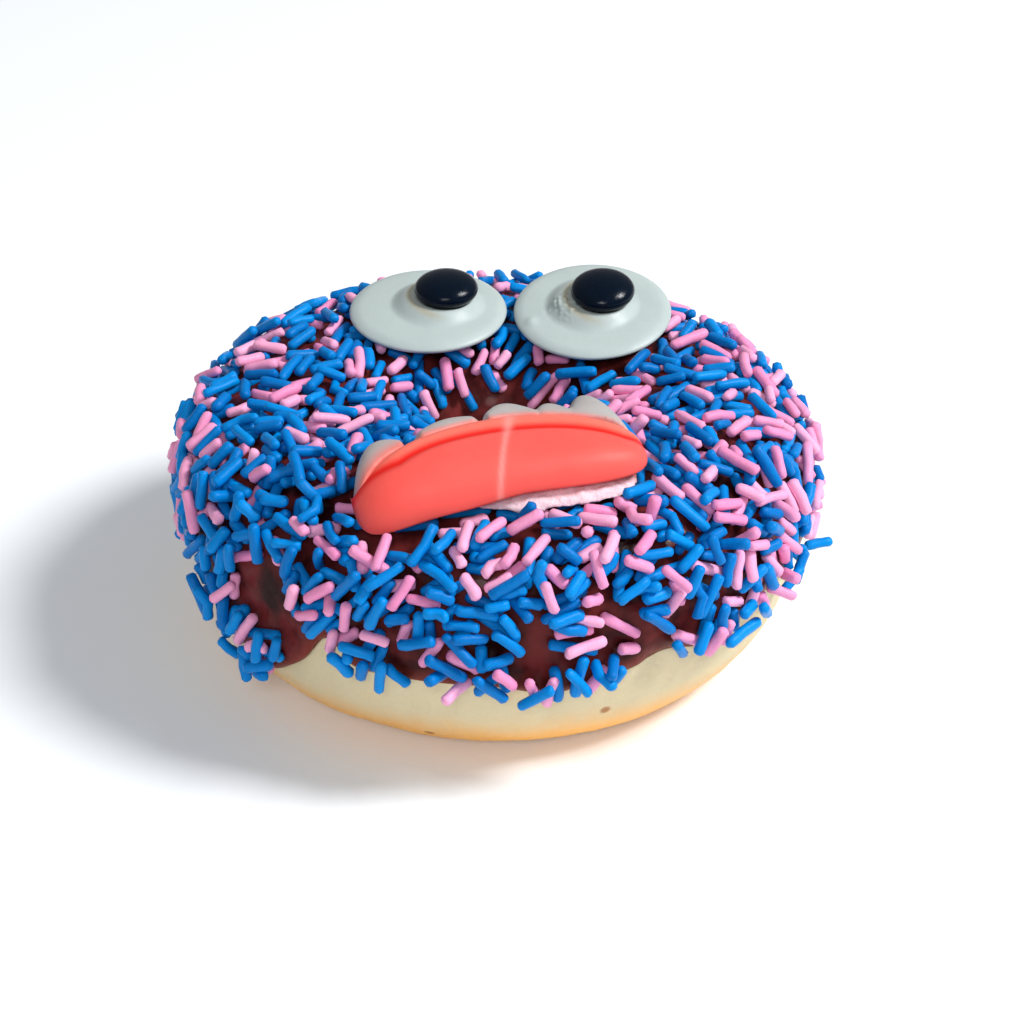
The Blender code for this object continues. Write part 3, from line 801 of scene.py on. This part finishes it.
def lay_sprinkles():
    """The places of the large sprinkles, the same as in the solid."""
    draw = random.Random(SPRINKLE_SEED)
    laid = []
    for step in range(SPRINKLE_TRIES):
        around = draw.uniform(0, TURN)
        share = draw.uniform(SPRINKLE_EDGE_SHARE, 1.0)
        heading = draw.uniform(0, math.pi)
        length = SPRINKLE_LONGEST + (SPRINKLE_SHORTEST - SPRINKLE_LONGEST) * step / SPRINKLE_TRIES
        edge = icing_edge_angle(around)
        angle = edge + (ICING_INNER_ANGLE - edge) * share
        radius, height, _ = ring_profile(angle)
        if radius < RING_RADIUS and height < LOWEST_SPRINKLE_IN_HOLE:
            continue
        start, end = lay_sprinkle(around, angle, heading, length)
        middle = (start + end) / 2
        crowded = any((middle - (a + b) / 2).length < SPRINKLE_SPACING for a, b in laid)
        if not crowded and clear_of_candy(start, end, SPRINKLE_FACET_RADIUS + GAP):
            laid.append((start, end))
    return laid


def prop_sprinkles():
    """Sprinkles that lean from the icing up to the underside of each eye's raised back."""
    props = []
    for side in EYES:
        for bearing in PROP_BEARINGS:
            direction = Vector((math.cos(math.radians(bearing)), math.sin(math.radians(bearing)), 0))
            below = Vector((0, 0, eye_underside(PROP_REACH) - GAP - SPRINKLE_FACET_RADIUS))
            top = eye_matrix(side) @ (direction * PROP_REACH + below)
            foot = top + direction.cross(Vector((0, 0, 1))) * PROP_LEAN
            foot.z = ring_top(math.hypot(foot.x, foot.y)) + GAP + ICING_THICKNESS
            props.append((foot, top))
    return props


def even_angles():
    """Angles round the section at which equal shares of the icing's area begin."""
    angles = np.linspace(LOWEST_ANGLE, ICING_INNER_ANGLE, PROFILE_STEPS)
    points = np.array([ring_profile(angle)[:2] for angle in angles])
    steps = np.hypot(*np.diff(points, axis=0).T) * points[1:, 0]
    shares = np.concatenate(([0], np.cumsum(steps)))
    return np.interp(np.linspace(0, shares[-1], ANGLE_CHOICES), shares, angles)


class Heap:
    """The sprinkles laid so far, as straight middle lines, and how another comes to rest on them."""

    def __init__(self, laid, room):
        self.count = 0
        self.starts = np.zeros((len(laid) + room, 3))
        self.runs = np.zeros((len(laid) + room, 3))
        for start, end in laid:
            self.add(np.array(start), np.array(end))

    def neighbours(self, middle):
        starts = self.starts[:self.count]
        runs = self.runs[:self.count]
        near = ((starts + runs / 2 - middle) ** 2).sum(axis=1) < NEIGHBOUR_REACH ** 2
        return starts[near], runs[near]

    def settle(self, around, angle, heading, pitch, length, highest):
        """Lift a sprinkle's ends until it touches no other. Its ends and how high it lies, or None."""
        middle, normal = ring_frame(around, angle, GAP + ICING_THICKNESS)
        along = np.array(along_surface(around, normal, heading))
        middle, normal = np.array(middle), np.array(normal)
        lifts = np.array([LYING, LYING + length * math.sin(pitch)])
        steepest = STEEPNESS_AT_BACK + STEEPNESS_GAIN * frontness(around)
        flat = along * length * math.cos(pitch) / 2
        starts, runs = self.neighbours(middle)
        squares = (runs ** 2).sum(axis=1)
        for _ in range(SETTLE_STEPS):
            start = middle - flat + normal * lifts[0]
            end = middle + flat + normal * lifts[1]
            if not len(starts):
                return start, end, lifts.min()
            samples = start + (end - start) * SETTLE_SAMPLES[:, None]
            offsets = samples[:, None, :] - starts[None]
            shares = np.clip((offsets * runs).sum(axis=2) / squares, 0, 1)
            distances = np.linalg.norm(offsets - shares[..., None] * runs, axis=2)
            worst = np.unravel_index(distances.argmin(), distances.shape)
            overlap = TOUCHING - distances[worst]
            if overlap <= 0:
                return start, end, lifts.min()
            share = SETTLE_SAMPLES[worst[0]]
            by_end = np.array([1 + FAR_END_LIFT - share, FAR_END_LIFT + share])
            lifts += (overlap + TOUCHING_MARGIN) * by_end
            if lifts.min() > highest or lifts.max() > highest + length * steepest:
                return None
        return None

    def add(self, start, end):
        self.starts[self.count] = start
        self.runs[self.count] = end - start
        self.count += 1


def bareness(around, height):
    """How bare the icing is at a place on its outer side, from 0 to 1."""
    degrees = (math.degrees(around) + 180) % 360 - 180
    most = 0.0
    for middle, level, half_width in BARE_PATCHES:
        sideways = math.radians(degrees - middle) * OUTER_RADIUS
        most = max(most, bell(math.hypot(sideways, height - level), half_width))
    return most


def takes_sprinkles(around, angle, luck):
    """True if sprinkles lie at this place: thick on top, clumped on the sides, none deep in the hole."""
    radius, height, _ = ring_profile(angle)
    if radius < RING_RADIUS:
        at_back = math.cos(around) < BACK_OF_HOLE_COSINE
        return height > (BACK_OF_HOLE_HEIGHT if at_back else LOWEST_SPRINKLE_IN_HOLE)
    above_edge = height - icing_edge_height(around)
    if above_edge < EDGE_MARGIN or bareness(around, height) > BARE_LEVEL + BARE_LUCK * luck:
        return False
    point, _ = ring_frame(around, angle)
    edge_row = EDGE_ROW_SHARE * bell(above_edge - EDGE_MARGIN, EDGE_ROW_WIDTH)
    likely = edge_row + smooth_step((height - DENSE_HEIGHT) / DENSE_REACH)
    return noise.noise(point / CLUMP_SIZE) < CLUMP_LEVEL + CLUMP_LUCK * luck + likely


def frontness(around):
    """One at the front, falling to nothing at the sides."""
    return smooth_step(FRONT_STRETCH * math.cos(around) - FRONT_SHIFT)


def heap_limit(around, angle):
    """How high the sprinkles may pile up: higher on top than on the sides, and less at the back."""
    _, height, _ = ring_profile(angle)
    lowest, highest = TOP_LIMITS if height > SHOULDER_HEIGHT else WALL_LIMITS
    return lowest + (highest - lowest) * frontness(around)


def lay_small_sprinkles(laid):
    """Smaller sprinkles fill the icing between the large ones, then settle on top of them all."""
    draw = random.Random(SMALL_SEED)
    heap = Heap(laid, FLAT_TRIES + HEAP_TRIES)
    angles = even_angles()
    for step in range(FLAT_TRIES + HEAP_TRIES):
        around = draw.uniform(0, TURN)
        angle = float(angles[draw.randrange(len(angles))])
        length = draw.triangular(*SMALL_LENGTHS)
        if not takes_sprinkles(around, angle, draw.random()):
            continue
        radius, _, _ = ring_profile(angle)
        heaping = step >= FLAT_TRIES
        if heaping and draw.random() > HEAP_AT_BACK + smooth_step(HEAP_TURN + math.cos(around)):
            continue
        limit = heap_limit(around, angle) if heaping else FLAT_LIMIT
        best = None
        for _ in range(HEAP_CHOICES if heaping else 1):
            place = around, angle
            if heaping:
                jitter = draw.gauss(0, HEAP_JITTER) / radius, draw.gauss(0, HEAP_JITTER) / HALF_HEIGHT
                place = around + jitter[0], angle + jitter[1]
                if not takes_sprinkles(*place, 0.5):
                    continue
            standing = draw.random() < STANDING_SHARE * frontness(around)
            pitch = draw.uniform(*STANDING_PITCHES) if standing else draw.gauss(0, LYING_PITCH)
            rested = heap.settle(*place, draw.uniform(0, TURN), abs(pitch), length, limit)
            if rested and (best is None or rested[2] < best[2]):
                best = rested
        if best and clear_of_candy(Vector(best[0]), Vector(best[1]), SMALL_ROOM):
            heap.add(*best[:2])
    added = slice(len(laid), heap.count)
    lines = zip(heap.starts[added], heap.runs[added])
    return [(Vector(start), Vector(start + run)) for start, run in lines]


def sprinkle_tree():
    """Geometry nodes that grow a sprinkle on each point: a ball drawn out along its direction, and bent."""
    group = bpy.data.node_groups.new("sprinkle_grower", "GeometryNodeTree")
    kinds = {"Points": "Geometry", "Radius": "Float", "Sides": "Int", "Material": "Material"}
    for name, kind in kinds.items():
        group.interface.new_socket(name, in_out="INPUT", socket_type="NodeSocket" + kind)
    group.interface.new_socket("Geometry", in_out="OUTPUT", socket_type="NodeSocketGeometry")
    tree = Tree(group)
    points, radius, sides, material = (tree.add("NodeGroupInput", output=name) for name in kinds)

    def stored(name, kind="FLOAT"):
        settings = {"data_type": kind}
        return tree.add("GeometryNodeInputNamedAttribute", settings, output="Attribute", Name=name)

    def vector_math(operation, first, second):
        node = tree.node("ShaderNodeVectorMath", {"operation": operation})
        tree.feed(node.inputs[0], first)
        tree.feed(node.inputs["Scale" if operation == "SCALE" else 1], second)
        return Wire(group, node.outputs[0])

    ball = tree.add("GeometryNodeMeshUVSphere", Segments=sides, Rings=DRAWN_RINGS, Radius=radius)
    place = tree.add("GeometryNodeInputPosition")
    x, y, z = (tree.add("ShaderNodeSeparateXYZ", output=letter, Vector=place) for letter in "XYZ")
    level = (z / radius).absolute()
    round_width = (JUST_OVER_ONE - level * level) ** 0.5
    in_cap = ((level - CAP_LEVEL) / (1 - CAP_LEVEL)).at_least(0.0)
    widening = (JUST_OVER_ONE - in_cap ** CAP_POWER) ** 0.5 / round_width
    cap_end = z.sign() * in_cap * radius * CAP_DEPTH
    blunt_place = tree.add("ShaderNodeCombineXYZ", X=x * widening, Y=y * widening, Z=cap_end)
    side = (level * DRAWING_RATE).at_most(1.0) * z.sign()
    number = {"data_type": "FLOAT"}
    ball = tree.add("GeometryNodeStoreNamedAttribute", number, Geometry=ball, Name="side", Value=side)
    ball = tree.add("GeometryNodeSetPosition", Geometry=ball, Position=blunt_place)

    direction = stored("direction", "FLOAT_VECTOR")
    turned = tree.add("FunctionNodeAlignRotationToVector", {"axis": "Z"}, Vector=direction)
    rods = tree.add(
        "GeometryNodeInstanceOnPoints",
        Points=points, Instance=ball, Rotation=turned, Scale=stored("thickness"),
    )
    rods = tree.add("GeometryNodeRealizeInstances", Geometry=rods)
    drawn = vector_math("SCALE", direction, stored("half_length") * stored("side"))
    bent = vector_math("SCALE", stored("bend", "FLOAT_VECTOR"), stored("side").absolute())
    rods = tree.add("GeometryNodeSetPosition", Geometry=rods, Offset=vector_math("ADD", drawn, bent))
    cloud = tree.add("ShaderNodeTexNoise", output="Color", Scale=1 / LUMP_SIZE, Detail=1.0)
    lumps = vector_math("SCALE", vector_math("SUBTRACT", cloud, (0.5, 0.5, 0.5)), LUMP_HEIGHT)
    rods = tree.add("GeometryNodeSetPosition", Geometry=rods, Offset=lumps)
    rods = tree.add("GeometryNodeSetMaterial", Geometry=rods, Material=material)
    tree.node("NodeGroupOutput", Geometry=rods)
    return group


def grow_sprinkles(name, places, tree, material, draw):
    """One piece of all the sprinkles of a colour."""
    data = bpy.data.meshes.new(name)
    data.from_pydata([tuple((start + end) / 2) for start, end in places], [], [])
    columns = {"direction": [], "half_length": [], "bend": [], "thickness": [], "tone": []}
    for start, end in places:
        run = end - start
        direction = run.normalized()
        broken = draw.random() < BROKEN_SHARE
        anywhere = Vector([draw.gauss(0, 1) for _ in range(3)])
        across = direction.cross(anywhere).normalized()
        across.z = abs(across.z) * BEND_DROOP
        bend = run.length * draw.uniform(*(BROKEN_BENDS if broken else SLIGHT_BENDS))
        columns["direction"].append(direction)
        columns["half_length"].append(run.length / 2 - DRAWN_RADIUS * END_TRIM)
        columns["bend"].append(across * bend)
        columns["thickness"].append(draw.uniform(*THICKNESSES))
        columns["tone"].append(draw.random())
    for key, values in columns.items():
        is_vector = key in ("direction", "bend")
        attribute = data.attributes.new(key, "FLOAT_VECTOR" if is_vector else "FLOAT", "POINT")
        flat = [part for value in values for part in value] if is_vector else values
        attribute.data.foreach_set("vector" if is_vector else "value", flat)
    piece = new_object(name, data)
    grower = piece.modifiers.new("Grower", "NODES")
    grower.node_group = tree
    inputs = {"Radius": DRAWN_RADIUS, "Sides": DRAWN_SIDES, "Material": material}
    for item in tree.interface.items_tree:
        if item.in_out == "INPUT" and item.name in inputs:
            grower[item.identifier] = inputs[item.name]
    plain_mesh(piece)
    finish_piece(piece, material, "icing")


def make_sprinkles():
    """All sprinkles, sorted into blue and pink, with more blue on the left."""
    large = lay_sprinkles() + prop_sprinkles()
    places = large + lay_small_sprinkles(large)
    draw = random.Random(SMALL_SEED + 1)
    blue, pink = [], []
    for start, end in places:
        side = (start.x + end.x) / (2 * OUTER_RADIUS)
        share = BLUE_SHARE - BLUE_SLANT * side
        (blue if draw.random() < share else pink).append((start, end))
    tree = sprinkle_tree()
    blue_finish = sprinkle_finish("blue_sugar", (0, 92, 170), (0, 146, 228))
    pink_finish = sprinkle_finish("pink_sugar", (230, 122, 178), (250, 184, 216))
    grow_sprinkles("sprinkles_blue", blue, tree, blue_finish, draw)
    grow_sprinkles("sprinkles_pink", pink, tree, pink_finish, draw)


# Eyes

def eye_top(x, y, mound_x, pupil_x):
    """Upper side of an eye's disc: dome, mound and the seat of the pupil."""
    spread = min(1.0, math.hypot(x, y) / EYE_RADIUS)
    height = EYE_RIM + (EYE_DOME - EYE_RIM) * (1 - spread ** 2) ** EYE_DOME_POWER
    from_mound = math.hypot(x - mound_x, y)
    height += MOUND_HEIGHT * smooth_step((MOUND_RADIUS - from_mound) / MOUND_SLOPE)
    from_pupil = math.hypot(x - pupil_x, y) / (PUPIL_RADIUS + SEAT_GAP)
    if from_pupil < 1:
        seat = PUPIL_LIFT - SEAT_GAP - PUPIL_HALF_HEIGHT * math.sqrt(1 - from_pupil ** 2)
        height = min(height, seat)
    return height


def torn_flakes(point):
    """Small flakes that stand up beside the pupil, and one bubble near the rim."""
    if point.z < 0:
        return 0.0
    flakes = abs(relief(point, FLAKE_HEIGHT, FLAKE_SIZE)) * bell((point - TORN_PLACE).length, TORN_REACH)
    return flakes + BUBBLE_HEIGHT * bell((point - BUBBLE_PLACE).length, BUBBLE_WIDTH)


def make_eye(side, white_finish, black_finish):
    """The white disc with its mound, and the dark lentil in it."""
    _, _, _, mound_x, pupil_x = EYES[side]
    matrix = eye_matrix(side)

    def place(u, v):
        bearing = TURN * u
        over = v < EYE_TOP_SHARE
        reach = (v / EYE_TOP_SHARE) ** EYE_ROW_POWER if over else (1 - v) / (1 - EYE_TOP_SHARE)
        x = mound_x * (1 - reach) + EYE_RADIUS * reach * math.cos(bearing)
        y = EYE_RADIUS * reach * math.sin(bearing)
        rim = min(1.0, (1 - reach) / (EYE_ROUND_OVER if over else EYE_ROUND_UNDER))
        soft = math.sqrt(1 - (1 - rim) ** 2)
        if over:
            height = eye_top(x, y, mound_x, pupil_x) * soft
        else:
            height = eye_underside(math.hypot(x, y)) * soft
        return Vector((x, y, height))

    # Painted shade round the pupil, fading out towards its right, where the pupil's shadow falls on the
    # white.
    def pupil_shade(point):
        across = point.x - pupil_x
        ring = bell(math.hypot(across, point.y) - PUPIL_RADIUS - PUPIL_SHADE_OFFSET, PUPIL_SHADE_WIDTH)
        return ring * smooth_step((PUPIL_SHADE_END - across) / PUPIL_SHADE_FADE) if point.z > 0 else 0.0

    white = bent_grid(f"eye_disc_{side}", columns=130, rows=110, place=place)
    paint_points(white, "pupil_shade", pupil_shade)
    if side == TORN_EYE:
        push_points(white, torn_flakes)
    white.data.transform(matrix)
    finish_piece(white, white_finish, f"eye_white_{side}")

    mesh = bmesh.new()
    bmesh.ops.create_uvsphere(mesh, u_segments=64, v_segments=40, radius=PUPIL_RADIUS)
    bmesh.ops.scale(mesh, verts=mesh.verts, vec=(1, 1, PUPIL_HALF_HEIGHT / PUPIL_RADIUS))
    mesh.transform(matrix @ Matrix.Translation((pupil_x, 0, PUPIL_LIFT)))
    lentil = mesh_object(f"pupil_lentil_{side}", mesh)
    finish_piece(lentil, black_finish, f"pupil_{side}")


# Mouth

def droop(a):
    """How much of the droop the gum has: all of it at the left, none at the right."""
    return 1 - smooth_step((a - DROOP_LEFT) / (DROOP_RIGHT - DROOP_LEFT))


def gum_underside(a, b):
    """Height of the gum's underside, lowest at its front left."""
    from_front = smooth_step((b - mouth_front(a)) / DROOP_DEPTH)
    return BASE_THICKNESS + GAP - DROOP * droop(a) * (1 - from_front)


def crease_line(a):
    """Where the crease runs, behind the gum's broad face."""
    fall = CREASE_FALL * ((a - CREASE_CENTRE) / CREASE_HALF_WIDTH) ** 2
    return CREASE_MIDDLE - min(fall, CREASE_END_FALL)


def seam_strength(a, b):
    """One on the seam, which is wider towards the teeth."""
    width = SEAM_WIDTH * (1 + SEAM_FLARE * smooth_step((b - SEAM_FLARE_START) / SEAM_FLARE_LENGTH))
    return bell(a - SEAM_START - SEAM_SLANT * b, width)


def gum_thickness(a, b):
    """Full thickness of the gum."""
    swell = DROOP_SWELL * (BASE_THICKNESS + GAP - gum_underside(a, b))
    return GUM_CROWN + swell - CREASE_DEPTH * bell(b - crease_line(a), CREASE_WIDTH)


def base_thickness(a, b):
    """Full thickness of the base, which fills what the gum leaves."""
    return gum_underside(a, b) - GAP


def base_edges(a):
    """Front and back edge of the base: inside the gum's, but with a lip in front where nothing droops."""
    shape = -mouth_front(a / BASE_SCALE) / MOUTH_FRONT
    inset = BASE_INSET * droop(a) - BASE_LIP * (1 - droop(a))
    front = (inset - MOUTH_FRONT * BASE_SCALE) * shape
    return front, mouth_back(a / BASE_SCALE) * BASE_SCALE


def soft_slab(name, grid, half_width, edges, underside, thickness):
    """A closed body between two edges of the mouth's plan, with a round top and rounded ends."""
    def place(u, v):
        a = -half_width * math.cos(math.pi * u)
        front, back = edges(a)
        over = v < SLAB_TOP_SHARE
        if over:
            fraction = (1 - math.cos(math.pi * v / SLAB_TOP_SHARE)) / 2
        else:
            fraction = (1 - v) / (1 - SLAB_TOP_SHARE)
        b = front + (back - front) * fraction
        across = blunt(2 * fraction - 1, EDGE_POWER, EDGE_SOFTNESS)
        rounding = across * blunt(a / half_width, END_POWER, END_SOFTNESS)
        share = RIM_SHARE + (1 - RIM_SHARE) * rounding if over else RIM_SHARE * (1 - rounding)
        return lay_on_ring(a, b, underside(a, b) + thickness(a, b) * share)

    return bent_grid(name, **grid, place=place)


def make_gum():
    """The red jelly with its crease, the band behind it, and a pale seam."""
    def edges(a):
        return mouth_front(a), mouth_back(a)

    grid = {"columns": 150, "rows": 120}
    gum = soft_slab("gum_jelly", grid, MOUTH_HALF_WIDTH, edges, gum_underside, gum_thickness)

    def planned(measure):
        return lambda point: measure(*mouth_plan(point))

    # Painted shade along the crease, where the groove is shaded.
    paint_points(gum, "crease", planned(lambda a, b: bell(b - crease_line(a), CREASE_SHADE_WIDTH)))
    paint_points(gum, "band", planned(lambda a, b: smooth_step((b - crease_line(a)) / CREASE_WIDTH)))
    paint_points(gum, "seam", planned(seam_strength))
    finish_piece(gum, gum_finish(), "mouth_gum")


def tooth_section(a):
    """The closed section of the teeth across their length: ledge, wall, humped top and tip."""
    reach = tooth_reach(a)
    ends = blunt(a / TEETH_HALF_WIDTH, TEETH_END_POWER, END_SOFTNESS)
    tip = mouth_back(a) + TEETH_WALL + reach
    wall = mouth_back(a) - TEETH_ROOT * ends
    lowness = min(1.0, reach / FULL_HEIGHT_REACH)
    height = TEETH_HEIGHT * ends * (VALLEY_HEIGHT_SHARE + (1 - VALLEY_HEIGHT_SHARE) * lowness)
    section = [
        (wall - TEETH_LEDGE * ends, TEETH_LIFT),
        (wall - TEETH_LEDGE * ends, TEETH_LIFT + LEDGE_HEIGHT * ends),
        (wall, TEETH_LIFT + LEDGE_HEIGHT * ends),
    ]
    for step in range(1, TOOTH_STEPS + 1):
        station = math.sin(0.5 * math.pi * step / TOOTH_STEPS)
        rise = height * blunt(station, TOOTH_FALL, END_SOFTNESS)
        section.append((wall + (tip - wall) * station, TEETH_LIFT + rise))
    return section + section[:1]


def make_teeth():
    """The foam base and its teeth, melted together."""
    def level_underside(a, b):
        return 0.0

    grid = {"columns": 90, "rows": 60}
    half_width = MOUTH_HALF_WIDTH * BASE_SCALE
    base = soft_slab("foam_teeth", grid, half_width, base_edges, level_underside, base_thickness)
    rows = len(tooth_section(0.0)) - 1

    def place(u, v):
        a = TEETH_HALF_WIDTH * (2 * u - 1)
        return lay_on_ring(a, *tooth_section(a)[round(v * rows)])

    teeth = bent_grid("teeth", columns=260, rows=rows, place=place)
    mesh = bmesh.new()
    mesh.from_mesh(base.data)
    mesh.from_mesh(teeth.data)
    mesh.to_mesh(base.data)
    mesh.free()
    bpy.data.objects.remove(teeth)
    remesh = base.modifiers.new("Melted", "REMESH")
    remesh.mode = "VOXEL"
    remesh.voxel_size = VOXEL_SIZE
    smooth = base.modifiers.new("Softened", "SMOOTH")
    smooth.iterations = SMOOTHING_ROUNDS
    plain_mesh(base)

    def front(point):
        _, b = mouth_plan(point)
        return smooth_step((-b - CRUMBS_BEGIN) / CRUMBS_FADE)

    def blush(point):
        a, b = mouth_plan(point)
        behind = b - mouth_back(a) + TEETH_ROOT
        at_left = 1 - smooth_step((a - BLUSH_LEFT) / BLUSH_FADE)
        return bell(max(0.0, behind), BLUSH_WIDTH + BLUSH_GROWTH * at_left) * (1 - front(point))

    push_points(base, lambda point: relief(point, *FOAM_CRUMBS) * front(point))
    paint_points(base, "front", front)
    paint_points(base, "blush", blush)
    finish_piece(base, teeth_finish(), "mouth_teeth")


# Floor, light and camera

def make_floor():
    """A wide pale square."""
    half = FLOOR_HALF_WIDTH
    corners = [(-half, -half, 0), (half, -half, 0), (half, half, 0), (-half, half, 0)]
    data = bpy.data.meshes.new("floor")
    data.from_pydata(corners, [], [(0, 1, 2, 3)])
    floor = new_object("floor", data)
    finish = Finish(
        "pale_floor", Base_Color=(0.88, 0.9, 0.92, 1.0), Roughness=0.9, Specular_IOR_Level=0.1,
        Emission_Color=(0.85, 1.0, 1.15, 1.0), Emission_Strength=0.085,
    )
    data.materials.append(finish.material)


def area_light(name, place, size, power):
    """A round light that faces the doughnut."""
    light = bpy.data.lights.new(name, "AREA")
    light.shape = "DISK"
    light.size = size
    light.energy = power
    lamp = new_object(name, light)
    lamp.location = place
    lamp.rotation_euler = (CAMERA_TARGET - Vector(place)).to_track_quat("-Z", "Y").to_euler()


def make_lights():
    """A key light from the right, a weaker one from the front, and an even white room."""
    area_light("key", (0.95, -0.15, 1.1), size=0.45, power=22.5)
    area_light("front", (-0.1, -1.3, 0.95), size=0.4, power=6.0)
    world = bpy.data.worlds.new("soft_room")
    world.use_nodes = True
    room = world.node_tree.nodes["Background"].inputs
    room["Color"].default_value = (1, 1, 1, 1)
    room["Strength"].default_value = ROOM_STRENGTH
    bpy.context.scene.world = world
    bpy.context.scene.view_settings.view_transform = "Standard"


def make_camera():
    data = bpy.data.cameras.new("camera")
    data.lens = CAMERA_LENS
    data.sensor_width = 36.0
    data.clip_start = 0.01
    data.shift_x, data.shift_y = CAMERA_SHIFT
    camera = new_object("camera", data)
    back = Vector((0, -math.cos(CAMERA_ELEVATION), math.sin(CAMERA_ELEVATION)))
    camera.location = CAMERA_TARGET + back * CAMERA_DISTANCE
    camera.rotation_euler = back.to_track_quat("Z", "Y").to_euler()
    bpy.context.scene.camera = camera


make_camera()
make_lights()
make_floor()
make_dough()
make_icing()
make_sprinkles()
white_candy = eye_white_finish()
black_candy = pupil_finish()
for eye in EYES:
    make_eye(eye, white_candy, black_candy)
make_gum()
make_teeth()
